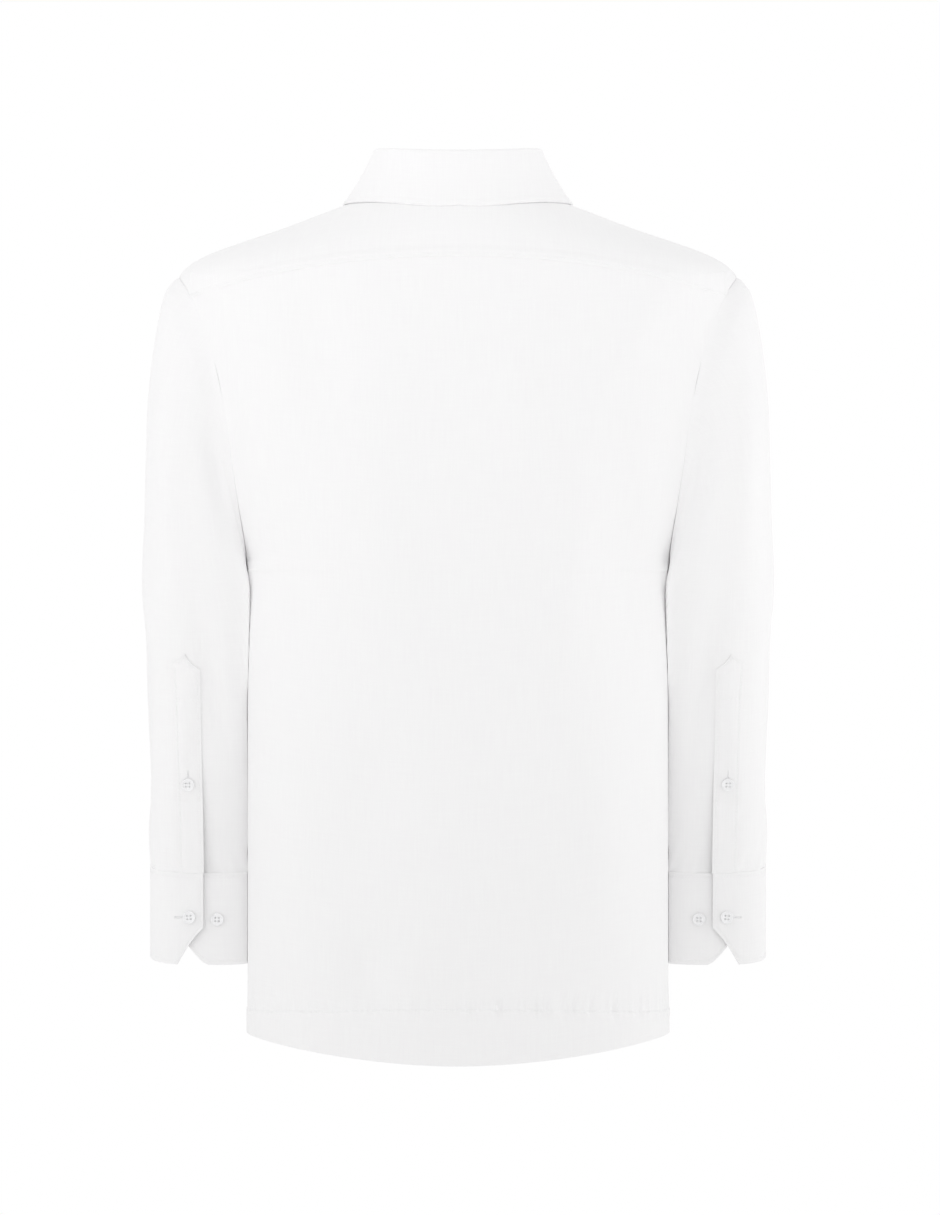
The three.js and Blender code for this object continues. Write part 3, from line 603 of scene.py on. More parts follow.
def strands(centres, along, up, length, radius):
    """Short bowed threads, as vertices and faces, each laid along its own direction."""
    stations = [(-1, 0.35, -1), (-0.6, 1, 0.7), (0.6, 1, 0.7), (1, 0.35, -1)]  # place, thickness, lift
    corners = [radians(45 + 90 * k) for k in range(4)]
    shape = np.array([
        (place * length / 2, thick * radius * np.cos(a), radius * (lift + thick * np.sin(a)))
        for place, thick, lift in stations for a in corners
    ])
    beside = np.cross(up, along)
    frames = np.stack([along, beside, up], 1)
    vertices = centres[:, None] + np.einsum("kc,ncd->nkd", shape, frames)
    ring = [(4 * s + k, 4 * s + (k + 1) % 4, 4 * s + 4 + (k + 1) % 4, 4 * s + 4 + k)
            for s in range(3) for k in range(4)]
    faces = np.array([*ring, (3, 2, 1, 0), (12, 13, 14, 15)])
    starts = len(shape) * np.arange(len(centres))[:, None, None]
    return vertices.reshape(-1, 3), (faces[None] + starts).reshape(-1, 4)


def unit(vectors):
    return vectors / np.linalg.norm(vectors, axis=-1, keepdims=True)


def stitch_line(points, up, pitch=thread["pitch"], length=thread["length"]):
    """Machine stitches along a line on the cloth, given with its outward directions."""
    far = np.insert(np.cumsum(np.linalg.norm(np.diff(points, axis=0), axis=1)), 0, 0)
    count = max(1, int(far[-1] // pitch))
    places = (np.arange(count) + 0.5) * far[-1] / count

    def at(values, where):
        return np.stack([np.interp(where, far, values[:, k]) for k in range(3)], 1)

    ahead = at(points, places + length / 2) - at(points, places - length / 2)
    return strands(at(points, places), unit(ahead), unit(at(up, places)), length, thread["radius"])


def sewn(name, bundles):
    """One piece from many bundles of threads."""
    starts = np.insert(np.cumsum([len(vertices) for vertices, _ in bundles]), 0, 0)
    vertices = np.concatenate([vertices for vertices, _ in bundles])
    faces = np.concatenate([faces + start for (_, faces), start in zip(bundles, starts)])
    piece = mesh_piece(name, vertices, faces, cotton)
    piece.data.shade_smooth()
    return piece


def tucked(points, end, by=tuck, closed=False):
    """Adds the edge that goes on under the next piece, past the last row (end) or before the first."""
    edge, inner = (points[-1], points[-2]) if end else (points[0], points[1])
    ahead = unit(edge - inner)
    inwards = outward(points, closed)[-1 if end else 0]
    extra = [edge + ahead * by["under"] * k / 3 - inwards * by["in"] * ease(k, 0, 2) for k in (1, 2, 3)]
    return np.concatenate([points, extra] if end else [extra[::-1], points])


shares = spaced([1, 0.985, -0.985, -1], [4, 212, 4])
side_turn = shares * pi / 2
lower_back = on_body(side_turn, levels_to_underarm(on_body(side_turn, hem["side"], 1)[:, 0]), 1)

up_arm = spaced([0, 0.97, 1], [58, 6])
edge = armhole_point((yoke_end_angle * up_arm)[:, None])
climb = (edge[..., 2] - armhole["bottom"]) / (yoke_end[2] - armhole["bottom"])
seam = back_yoke_seam(shares)
seam_share = turn_at(seam[:, 0], seam[:, 2], 1) / turn_at(yoke_end[0], yoke_end[2], 1)
upper_z = mix(armhole["bottom"], seam[:, 2], climb)
upper_turn = mix(shares, seam_share, climb) * turn_at(edge[..., 0], edge[..., 2], 1)
upper_back = on_body(upper_turn, upper_z, 1)
upper_back[:, [0, -1]] = edge * [[[1, 1, 1], [-1, 1, 1]]]

back_form = folded(np.concatenate([lower_back, upper_back]))
along_hem = grain(back_form, False, len(shares) // 2)[..., 0]
at_sides = rolled(back_form, 1, False) + rolled(back_form, 1, True)
back = lifted(back_form, hem_relief(back_form, along_hem) + at_sides)
hem_row = sum(hem_rows["parts"][:2])
back_hem_thread = stitch_line(back[hem_row, 2:-2], outward(back)[hem_row, 2:-2])
back_cloth = cloth("back_panel", tucked(back, True), panel_wall)
back_sewing = sewn("back_hem_stitching", [back_hem_thread])

# ---------------------------------------------------------------- fronts
# Two plain fronts cut like the back, closing with the left over the right. Each passes the middle by
# half a band, and the right one lies lower there. The same turned-up hem runs round them.

lap = 15
front_seam = {"neck_x": 68, "bulge": 4}
under_left = {"by": 1.5, "from": -34, "full": -16}
pucker_shift = 500  # so that the hems of both fronts don't pucker alike
neck_column, side_column = 4, 10
neck_share = 5 / 11
shoulder_search = {"floor": -130, "step": 2, "halvings": 20}


def height_over(x, y):
    """The height of the shoulders over a place in plan: the first level down that reaches so far out."""

    def reach_at(z):
        wide, deep, roundness = section(z, np.where(y < 0, -1, 1))
        return (np.abs(x) / wide) ** roundness + (np.abs(y) / deep) ** roundness

    levels = np.arange(neck["level"], shoulder_search["floor"], -shoulder_search["step"])
    reaches = np.array([reach_at(np.full_like(x, level)) for level in levels])
    first = np.where((reaches < 1).any(0), (reaches < 1).argmax(0), reaches.argmin(0))
    high, low = levels[np.maximum(first - 1, 0)], levels[first]
    for _ in range(shoulder_search["halvings"]):
        z = (high + low) / 2
        inside = reach_at(z) < 1
        high, low = np.where(inside, high, z), np.where(inside, z, low)
    return low


def neck_depth(turn):
    return np.where(np.cos(turn) > 0, neck["behind"], neck["before"])


def neck_plan(turn):
    """The neck seam in plan: turn 0 is the middle of the back, pi of the front, positive the left."""
    return neck["half_width"] * np.sin(turn), neck_depth(turn) * np.cos(turn)


def neck_turn(x):
    """Where the front of the neck seam is so far to the left."""
    return pi - np.arcsin(x / neck["half_width"])


def neck_out(turn):
    return unit(xyz(np.sin(turn) / neck["half_width"], np.cos(turn) / neck_depth(turn), 0))


def neck_point(turn):
    x, y = neck_plan(turn)
    return xyz(x, y, height_over(x, y))


front_seam_turn = neck_turn(front_seam["neck_x"])


def front_yoke_seam(share):
    part = np.clip((share - neck_share) / (1 - neck_share), 0, 1)
    start_x, start_y = neck_plan(front_seam_turn)
    x = mix(start_x, yoke_end[0], part)
    y = mix(start_y, -yoke_end[1], part) - front_seam["bulge"] * np.sin(pi * part)
    return xyz(x, y, height_over(x, y))


def front_top(column):
    """The front's top edge: along the neck up to its corner, then along the yoke."""
    on_neck = neck_point(mix(neck_turn(lap), front_seam_turn, np.minimum(column / neck_column, 1)))
    past_neck = (column - neck_column) / (side_column - neck_column)
    on_yoke = front_yoke_seam(past_neck * (1 - neck_share) + neck_share)
    return np.where((column <= neck_column)[:, None], on_neck, on_yoke)


band_x = spaced([-lap, lap], [14])[:-1]
columns = spaced([0, neck_column, 9.7, side_column], [44, 62, 8])


def band_at(x, z):
    return on_body(turn_at(x, z, -1), z, -1)


def front_points():
    """The left front, from the edge of its band round to the side seam and the armhole."""
    side_turns = mix(turn_at(lap, armhole["bottom"], -1), pi / 2, columns / side_column)
    z = levels_to_underarm(np.concatenate([band_x, on_body(side_turns, hem["side"], -1)[:, 0]]))
    in_band = len(band_x)
    lower = np.concatenate([band_at(band_x, z[:, :in_band]), on_body(side_turns, z[:, in_band:], -1)], 1)
    arm = armhole_point(-yoke_end_angle * up_arm)[:, None]
    rise = (arm[..., 2] - armhole["bottom"]) / (yoke_end[2] - armhole["bottom"])
    band_top = neck_point(neck_turn(np.abs(band_x)))[:, 2]
    top = front_top(columns)
    top_start = turn_at(lap, top[:, 2], -1)
    top_end = turn_at(yoke_end[0], yoke_end[2], -1)
    top_share = (turn_at(top[:, 0], top[:, 2], -1) - top_start) / (top_end - top_start)
    side_z = mix(armhole["bottom"], top[:, 2], rise)
    share = mix(columns / side_column, top_share, rise)
    turns = mix(turn_at(lap, side_z, -1), turn_at(arm[..., 0], arm[..., 2], -1), share)
    sides = on_body(turns, side_z, -1)
    sides[:, -1:] = arm
    upper_band = band_at(band_x, mix(armhole["bottom"], band_top, rise))
    return np.concatenate([lower, np.concatenate([upper_band, sides], 1)])


def mirrored(points):
    return (points * [-1, 1, 1])[:, ::-1]


front_form = front_points()
for side in ("left", "right"):
    on_left = side == "left"
    form = folded(front_form if on_left else mirrored(front_form))
    sunk = 0 if on_left else -under_left["by"] * ease(form[..., 0], under_left["from"], under_left["full"])
    along = away_from(form, 1, False) + (0 if on_left else pucker_shift)
    points = lifted(form, hem_relief(form, along) + rolled(form, 1, on_left) + sunk)
    piece = cloth(f"front_{side}", points, panel_wall, middle=0 if on_left else points.shape[1] - 1)
    sewing = sewn(f"front_{side}_hem_stitching", [stitch_line(points[hem_row], outward(points)[hem_row])])

# ---------------------------------------------------------------- back yoke
# One piece over both shoulders, from the neck to the seams across the back and the fronts. It laps
# over the panels, turned under and topstitched, so its edge stands up as a soft ridge.

yoke_lap = {"lift": 1.3, "edge": 0.3, "full": 3, "from": 5, "to": 12, "stitch": 2.6, "dent": (0.4, 1)}
yoke_pucker = {"deep": 0.3, "pitch": 17, "above": 9, "below": 9, "seed": 21}


def yoke_far_edge(share):
    on_neck = neck_point(np.minimum(share / neck_share, 1) * front_seam_turn)
    return np.where((share <= neck_share)[:, None], on_neck, front_yoke_seam(share))


def yoke_points():
    half = spaced([1, 0.985, neck_share, 0], [4, 62, 44])
    around = np.concatenate([half, -half[-2::-1]])
    near, far = back_yoke_seam(np.abs(around)), yoke_far_edge(np.abs(around))
    part = spaced([0, 0.06, 0.94, 1], [9, 46, 9])[:, None]
    arm = armhole_point(yoke_end_angle + 2 * (pi - yoke_end_angle) * part)
    reach = np.clip((np.abs(around) - neck_share) / (1 - neck_share), 0, 1) ** 2
    x = mix(near[:, 0], far[:, 0], part) + reach * (arm[..., 0] - yoke_end[0])
    y = mix(near[:, 1], far[:, 1], part)
    y = y + reach * (arm[..., 1] - mix(yoke_end[1], -yoke_end[1], part))
    points = xyz(x, y, height_over(x, y))
    points[:, [0, -1]] = arm
    points[0] = near
    points[..., 0] *= np.where(around < 0, -1, 1)
    return points


yoke_form = folded(yoke_points())
from_back = away_from(yoke_form, 0, False)
from_front = away_from(yoke_form, 0, True)
over_front = np.abs(yoke_form[..., 0]) > front_seam["neck_x"]
ridge = sum(
    mix(yoke_lap["edge"], yoke_lap["lift"], ease(away, 0, yoke_lap["full"]))
    * (1 - ease(away, yoke_lap["from"], yoke_lap["to"])) * where
    - groove(away - yoke_lap["stitch"], *yoke_lap["dent"]) * where
    for away, where in ((from_back, 1), (from_front, over_front))
)
small_gathers = puckers(grain(yoke_form, False, 0)[..., 0], from_back, **yoke_pucker)
at_armholes = rolled(yoke_form, 1, False) + rolled(yoke_form, 1, True)
yoke = lifted(yoke_form, ridge + small_gathers + at_armholes)
yoke_cloth = cloth("back_yoke", yoke, panel_wall)
yoke_up = outward(yoke)


def line_at(points, up, away, distance):
    """The line on a grid at a distance from its edge, where away tells each point's distance."""
    lines = []
    for column in range(points.shape[1]):
        order = np.argsort(away[:, column])
        measure = away[order, column]
        lines.append([np.interp(distance, measure, values[order, column, k])
                      for values in (points, up) for k in range(3)])
    lines = np.array(lines)
    return lines[:, :3], lines[:, 3:]


neck_columns = np.where(np.abs(yoke[-1, :, 0]) <= front_seam["neck_x"] + 1)[0]
yoke_threads = [stitch_line(*line_at(yoke, yoke_up, from_back, yoke_lap["stitch"]))]
for part in (slice(0, neck_columns[0]), slice(neck_columns[-1] + 1, None)):
    line = line_at(yoke[:, part], yoke_up[:, part], from_front[:, part], yoke_lap["stitch"])
    yoke_threads.append(stitch_line(*line))
yoke_sewing = sewn("yoke_topstitching", yoke_threads)

# ---------------------------------------------------------------- collar
# A stiff upright stand sewn round the neck, its left end passing outside its right, and a leaf sewn
# to its top that turns over in a round roll and rests on the shoulders. Both are stitched near the edge.

stiffened = 2
stand = {"behind": 30, "beside": 34.5, "before": 30, "lean": 4, "lift": 0.8}
stand_lap = {"by": 2.4, "from": 138}
leaf = {"end": 176, "root": 0.8, "start": 4.6, "roll": 2.4, "rest": 0.9, "belly": 1.6, "sway": 0.5}
leaf_stitch = {"in": 3.2, "dent": (0.35, 1.1), "end": 6}
leaf_edge = table("share turn out", [
    (0, 0, 12.3),
    (0.25, 46, 17.5),
    (0.5, 90, 27),
    (0.75, 119, 28),
    (1, 147, 29),
])
stiff_edge = 0.5
stand_rows, stand_ends = (4, 12), (2, -3)  # the grid lines that the stitching follows
lap_turn = np.arcsin(lap / neck["half_width"])


def stand_pass(turn):
    return stand_lap["by"] * ease(turn, radians(stand_lap["from"]), pi - lap_turn)


def stand_top(turn):
    beside = mix(stand["behind"], stand["beside"], np.sin(turn) ** 2)
    before = mix(stand["beside"], stand["before"], ease(np.abs(turn), pi / 2, pi))
    rise = np.where(np.abs(turn) < pi / 2, beside, before)
    return neck_point(turn) - neck_out(turn) * stand["lean"] + xyz(0, 0, rise)


stand_turns = np.linspace(pi + lap_turn, -pi - lap_turn, 261)
foot = neck_point(stand_turns) + [0, 0, stand["lift"]]
climb = spaced([0, 0.08, 0.92, 1], [4, 8, 4])[:, None, None]
stand_form = mix(foot, stand_top(stand_turns), climb)
stand_face = lifted(stand_form, np.broadcast_to(stand_pass(stand_turns), stand_form.shape[:2]))
stand_cloth = cloth("collar_stand", stand_face, stiffened, edge=stiff_edge)
stand_up = outward(stand_face)
stand_threads = [stitch_line(stand_face[row], stand_up[row]) for row in stand_rows]
upright = slice(stand_rows[0], stand_rows[1] + 1)
stand_threads += [stitch_line(stand_face[upright, end], stand_up[upright, end]) for end in stand_ends]
stand_sewing = sewn("collar_stand_stitching", stand_threads)

leaf_turns = np.linspace(radians(leaf["end"]), -radians(leaf["end"]), 233)
leaf_share = np.abs(leaf_turns) / radians(leaf["end"])
leaf_out = neck_out(leaf_turns)
root = stand_top(leaf_turns) + leaf_out * (stand_pass(leaf_turns) - stiffened / 2)[:, None]
low_turn = np.sign(leaf_turns) * np.radians(read(leaf_edge, leaf_share, "turn", "share"))
low_x, low_y = neck_plan(low_turn)
low_edge = xyz(low_x, low_y, 0) + neck_out(low_turn) * read(leaf_edge, leaf_share, "out", "share")[:, None]
low_edge[:, 2] = height_over(low_edge[:, 0], low_edge[:, 1]) + leaf["rest"]
rising = [(0, z) for z in (leaf["root"], 2.1, 3.4)]
rolling = [(leaf["roll"] * (1 - np.cos(a)), leaf["start"] + leaf["roll"] * np.sin(a))
           for a in np.linspace(0, pi, 11)]
over = [root + leaf_out * out + [0, 0, up] for out, up in rising + rolling]
brow = over[-1]
fall_parts = spaced([0, 0.9, 1], [20, 8])[1:]
falling = [mix(brow, low_edge, part) for part in fall_parts]
leaf_middle = np.array(over + falling)
belly = np.concatenate([np.zeros(len(over)), leaf["belly"] * np.sin(pi * fall_parts) ** 0.8])
chance = np.random.default_rng(9)
sway = sum(np.sin(k * leaf_turns + chance.uniform(0, 2 * pi)) / k for k in (3, 5, 8, 13))
wave = np.concatenate([np.zeros(len(over)), leaf["sway"] * fall_parts**2])[:, None] * sway
leaf_face = lifted(leaf_middle, belly[:, None] + wave + stiffened / 2)
leaf_fall = away_from(leaf_face, 0, True)
from_leaf_edge = np.minimum(leaf_fall, from_sides(leaf_face))
leaf_face = lifted(leaf_face, -groove(from_leaf_edge - leaf_stitch["in"], *leaf_stitch["dent"]))
leaf_cloth = cloth("collar_leaf", leaf_face, stiffened, edge=stiff_edge)
leaf_up = outward(leaf_face)


def side_lines(points, up, distance, rows=slice(None)):
    """The two lines at a distance from the sides of a grid, along some of its rows."""
    turned = [values[rows].transpose(1, 0, 2) for values in (points, up)]
    return [line_at(*turned, away_from(points, 1, end)[rows].T, distance) for end in (False, True)]


inner = slice(leaf_stitch["end"], -leaf_stitch["end"])
leaf_lines = [line_at(leaf_face[:, inner], leaf_up[:, inner], leaf_fall[:, inner], leaf_stitch["in"])]
leaf_lines += side_lines(leaf_face, leaf_up, leaf_stitch["in"], slice(len(over), -leaf_stitch["end"]))
leaf_threads = [stitch_line(*line) for line in leaf_lines]
leaf_sewing = sewn("collar_leaf_stitching", leaf_threads)

# ---------------------------------------------------------------- button band
# A doubled strip on the edge of the left front, stitched down both sides. It carries the buttonholes
# and covers the edge of the right front.

band_strip = {"wall": 1.5, "edge": 0.4, "lift": 1.8, "below_neck": 0.8, "stitch": 3.4, "dent": (0.35, 0.9)}

band_grid = front_form[:, :len(band_x) + 1]
band_places = spaced([-lap, -8, 8, lap], [7, 8, 7])
band_columns = np.interp(band_places, band_grid[0, :, 0], np.arange(len(band_x) + 1))
before = np.floor(band_columns).astype(int).clip(0, len(band_x) - 1)
between = (band_columns - before)[:, None]
band_form = folded(mix(band_grid[:, before], band_grid[:, before + 1], between))
band_form[-1, :, 2] -= band_strip["below_neck"]
from_edge = lap - np.abs(band_form[..., 0])
band = lifted(band_form, band_strip["lift"] - groove(from_edge - band_strip["stitch"], *band_strip["dent"]))
band_cloth = cloth("front_button_band", band, band_strip["wall"], edge=band_strip["edge"])
band_up = outward(band)
band_threads = [stitch_line(*line) for line in side_lines(band, band_up, band_strip["stitch"])]
band_sewing = sewn("button_band_stitching", band_threads)

# ---------------------------------------------------------------- sleeves
# Each is one length of linen seamed under the arm, set into the armhole and hanging nearly straight.
# It is slit at the wrist: the side beside the body passes under the placket and into the cuff's lower end.

sleeve_round = 2.8
# Between the body's side and what hangs against it, and how much more in front, grown over this depth.
body_clear = {"sleeve": 0.15, "cuff": 1.05, "before": 0.9, "over": 16}
rings = table("ring inX inZ outX outZ midY deep rise curve", [
    (0, 191.8, -330.3, 251.3, -65.2, 0, 64, 0, 1),
    (1, 191.2, -335, 256.5, -69, 0, 65.5, 0, 0.9),
    (2, 188.8, -340.5, 264, -80, 0, 68, 0, 0.7),
    (3, 185.4, -346.5, 270, -104, -2, 70.5, 0, 0.45),
    (4, 182.2, -353.5, 275.5, -140, -4, 72.5, 0, 0.25),
    (5, 179.2, -361.5, 279.8, -180, -7, 73.5, 0, 0.1),
    (6, 176.8, -371, 282.2, -228, -12, 74, 0, 0),
    (7, 174.8, -384, 283, -290, -18, 73, 0, 0),
    (8, 173, -401, 283, -350, -24, 71, 0, 0),
    (9, 172, -424.5, 282.4, -392, -30, 68, 0, 0),
    (10, 172, -452, 281.6, -440, -35, 63, 2, 0),
    (11, 172, -496, 280.2, -492, -37.5, 56.5, 6, 0),
    (12, 172, -548, 278.8, -547, -39, 48, 11, 0),
    (13, 172, -601, 278, -601, -40, 38.5, 16, 0),
])
wrist_ring, slit_ring, peak_ring = 13, 10, 9
# Columns round the sleeve from beside the body, in front, outside, behind and back: the angle of each
# at the wrist and at the armhole. The placket lies from column 16 to 19, over the slit from 17 to 18.
yoke_angle = float(np.degrees(yoke_end_angle))
wrist_angles = [*np.linspace(360, 180, 12, endpoint=False), *np.linspace(180, 112.4, 4, endpoint=False),
                112.4, 102.3, 99.9, *np.linspace(91.4, 0, 6)]
arm_angles = [*np.linspace(360, 360 - yoke_angle, 9, endpoint=False),
              *np.linspace(360 - yoke_angle, yoke_angle, 6, endpoint=False), *np.linspace(yoke_angle, 0, 10)]
around_sleeve = table("column wrist arm", list(zip(range(25), wrist_angles, arm_angles)))
placket_columns, slit_columns = (16, 19), (17, 18)
under_pass = {"by": 4.2, "from": 15, "to": 60, "starts": 10.8}
sleeve_gather = {"deep": 0.9, "pitch": 21, "above": 20, "below": 20, "seed": 12}


def ring_point(ring, angle):
    """On a ring of the sleeve: angle 0 is beside the body, a quarter turn behind and a half outside."""
    inward = (1 + signed_power(np.cos(angle), 2 / sleeve_round)) / 2
    back = signed_power(np.sin(angle), 2 / sleeve_round)
    value = {name: read(rings, ring, name, "ring") for name in rings}
    x = mix(value["outX"], value["inX"], inward)
    z = mix(value["outZ"], value["inZ"], inward) + value["rise"] * (1 - back) / 2
    return xyz(x, value["midY"] + value["deep"] * back, z)


def pressed(points, clear):
    """What hangs against the body follows its side, just clear of it."""
    x, y, z = np.moveaxis(points, -1, 0)
    wide, deep, roundness = section(z, y)
    beside = wide * np.maximum(0, 1 - np.abs(y / deep) ** roundness) ** (1 / roundness)
    beside = beside + clear + body_clear["before"] * ease(-y, 0, body_clear["over"])
    return xyz(np.where(z > armhole["bottom"], x, np.maximum(x, beside)), y, z)


def on_sleeve(ring, column):
    curve = read(rings, ring, "curve", "ring")
    wrist = np.radians(read(around_sleeve, column, "wrist", "column"))
    arm = np.radians(read(around_sleeve, column, "arm", "column"))
    angle = mix(wrist, arm, curve)
    seam_point = armhole_point(angle)
    own = seam_point - ring_point(np.zeros_like(angle), angle)
    return pressed(ring_point(ring + 0 * angle, angle) + own * curve[..., None], body_clear["sleeve"])


sleeve_rings = spaced([wrist_ring, 12.86, 12.3, slit_ring, 6, 0.3, 0], [8, 16, 34, 34, 40, 6])[:, None]
sleeve_columns = spaced([0, 12, 16, 17, 18, 19, 24], [66, 26, 9, 1, 9, 34])[:-1]
slit_start = int(np.argmin(np.abs(sleeve_columns - slit_columns[0])))
slit_rows = int(np.argmin(np.abs(sleeve_rings[:, 0] - slit_ring)))
wrist_angle = read(around_sleeve, sleeve_columns, "wrist", "column")
sleeve_form = folded(on_sleeve(sleeve_rings, sleeve_columns))
beside_slit = ease(wrist_angle, under_pass["from"], under_pass["to"]) * (sleeve_columns >= slit_columns[1])
sleeve_form[..., 1] -= under_pass["by"] * beside_slit * ease(sleeve_rings, under_pass["starts"], wrist_ring)
from_cuff = away_from(sleeve_form, 0, False)
gathers = puckers(away_from(sleeve_form, 1, False), from_cuff, **sleeve_gather)
at_arm = rolled(sleeve_form, 0, True)

# ---------------------------------------------------------------- sleeve plackets and cuffs
# A doubled strip with a pointed top covers the slit, boxed by stitching at its head. The stiff cuff
# is one band round the wrist with both ends mitred, its outer end buttoned over the inner one.

placket = {"lift": 1.3, "wall": 1.1, "edge": 0.45, "shoulder": 0.28, "tip_half": 0.056}
placket_stitch = {"in": 2.8, "dent": (0.35, 0.9)}
placket_parts = [70, 22, 3]  # grid steps below the box, up to the point and along its edge
placket_straight = slice(0, 90)
cuff = {"top": -601.2, "bottom": -684, "proud": 0.9, "mitre_top": -651, "stitch": 3.4, "dent": (0.4, 1)}
cuff_parts = [4, 26, 4]
cuff_edge = {"over": 229.5, "over_mitre": 253, "under_mitre": 225, "under": 253}
cuff_pass = {"by": 4.2, "from": 375, "to": 420}
slit_past = 3  # rows of the tuck inside the cuff, which the slit runs through
wrist = {name: rings[name][wrist_ring] for name in rings}


def placket_points():
    across = spaced([0, 0.14, 0.44, 0.557, 0.86, 1], [5, 6, 2, 6, 5])
    column = mix(placket_columns[0], placket_columns[1], across)
    tip = placket["tip_half"]
    slope = np.clip(np.abs(across - 0.5) - tip, 0, 1) / (0.5 - tip)
    head = peak_ring + placket["shoulder"] * slope
    knots = [np.full_like(head, wrist_ring), np.full_like(head, slit_ring), head + 0.06, head]
    ring = spaced(knots, placket_parts)
    return on_sleeve(ring, np.broadcast_to(column, ring.shape))


def wrist_angle_at(x):
    across = 2 * (x - wrist["outX"]) / (wrist["inX"] - wrist["outX"]) - 1
    return np.arccos(signed_power(across, sleeve_round / 2))


cuff_end = {
    "over": wrist_angle_at(cuff_edge["over"]),
    "over_mitre": wrist_angle_at(cuff_edge["over_mitre"]),
    "under_mitre": 2 * pi + wrist_angle_at(cuff_edge["under_mitre"]),
    "under": 2 * pi + wrist_angle_at(cuff_edge["under"]),
}


def cuff_points():
    """The cuff from its inner end, beside the body, in front and outside, round to its outer end."""
    turns = [cuff_end[name] for name in ("under", "under_mitre", "over_mitre", "over")]
    angle = spaced(turns, [14, 110, 14])
    over = (angle - cuff_end["over"]) / (cuff_end["over_mitre"] - cuff_end["over"])
    under = (cuff_end["under"] - angle) / (cuff_end["under"] - cuff_end["under_mitre"])
    low = mix(cuff["mitre_top"], cuff["bottom"], np.minimum(1, np.minimum(over, under)))
    top = np.full_like(low, cuff["top"])
    stitched = [low, low + cuff["stitch"], top - cuff["stitch"], top]
    z = spaced(stitched, cuff_parts)
    points = ring_point(np.full_like(z, wrist_ring), np.broadcast_to(angle, z.shape))
    points[..., 2] += z - wrist["inZ"]
    points[..., 1] -= cuff_pass["by"] * ease(np.degrees(angle), cuff_pass["from"], cuff_pass["to"])
    return pressed(points, body_clear["cuff"]), angle


placket_form = folded(placket_points())
placket_head = away_from(placket_form, 0, True)
from_strip_edge = np.minimum(from_sides(placket_form), placket_head)
box_row = placket_parts[0]
from_box = np.abs(placket_form[..., 2] - placket_form[box_row, :, 2])
edge_dent = groove(from_strip_edge - placket_stitch["in"], *placket_stitch["dent"])
dents = edge_dent + groove(from_box, *placket_stitch["dent"])
placket_face = lifted(placket_form, placket["lift"] - dents)
placket_up = outward(placket_face)
placket_lines = side_lines(placket_face, placket_up, placket_stitch["in"], placket_straight)
inner = slice(4, -4)
head = [values[:, inner] for values in (placket_face, placket_up, placket_head)]
placket_lines.append(line_at(*head, placket_stitch["in"]))
placket_lines.append((placket_face[box_row, inner], placket_up[box_row, inner]))

cuff_form, cuff_angle = cuff_points()
cuff_form = folded(cuff_form)
from_cuff_edge = np.minimum(away_from(cuff_form, 0, False), away_from(cuff_form, 0, True))
from_cuff_edge = np.minimum(from_cuff_edge, from_sides(cuff_form))
cuff_face = lifted(cuff_form, cuff["proud"] - groove(from_cuff_edge - cuff["stitch"], *cuff["dent"]))
cuff_up = outward(cuff_face)
cuff_lines = [(cuff_face[row, 3:-3], cuff_up[row, 3:-3]) for row in (cuff_parts[0], -1 - cuff_parts[2])]
cuff_lines += side_lines(cuff_face, cuff_up, cuff["stitch"], slice(cuff_parts[0], -cuff_parts[2]))

sleeve_face = lifted(sleeve_form, gathers + at_arm, closed=True)
sleeve_face = tucked(sleeve_face, False, tuck_in_cuff, closed=True)

for side in ("left", "right"):
    on_left = side == "left"
    slit_at = slit_start if on_left else len(sleeve_columns) - 2 - slit_start

    def open_slit(i, j, slit_at=slit_at):
        return (j == slit_at) & (i < slit_rows + slit_past)

    def on_arm(points, on_left=on_left):
        return points if on_left else mirrored(points)

    face = on_arm(sleeve_face)
    sleeve = cloth(f"sleeve_{side}", face, panel_wall, closed=True, middle=slit_at, gone=open_slit)
    to_arm = np.array([1 if on_left else -1, 1, 1])
    for part, lines in (("placket", placket_lines), ("cuff", cuff_lines)):
        made = [stitch_line(points * to_arm, up * to_arm) for points, up in lines]
        sewn(f"{part}_{side}_stitching", made)
    strip = cloth(f"sleeve_placket_{side}", on_arm(placket_face), placket["wall"], edge=placket["edge"])
    band_round = cloth(f"cuff_{side}", on_arm(cuff_face), stiffened, edge=stiff_edge)

# ---------------------------------------------------------------- buttons and buttonholes
# Thirteen white moulded buttons, rimmed and four-holed, each sewn on with two bars of thread. A worked
# buttonhole lies under each but those on the cuffs' inner ends, upright on the band and plackets and level
# on the stand and cuffs.

button = {"radius": 5.8, "thick": 2.4, "rim": 1.2, "dish": 0.7, "slope": 0.5, "edge": 0.45}
button_hole = {"radius": 0.75, "pitch": 3}
button_bar = {"beside": 0.24, "past": 0.9, "radius": 0.26}
shank = 0.35
front_button = {"first": -104, "step": -88, "count": 6}
buttonhole = {"length": 15, "beside": 0.62, "pitch": 0.5, "stitch": 1.2, "bar": 2.6, "radius": 0.22}
hole_shift = {"up": 4.6, "out": 5.4, "across": 3.2}  # the button sits near one end of its buttonhole
cuff_end_turn = 0.6  # how far round from its mitre each end of the cuff is searched for a button's place
out_of_use = 1e6

resin_white = "#F9F9FA"
resin_shade = "#EEEEEF"

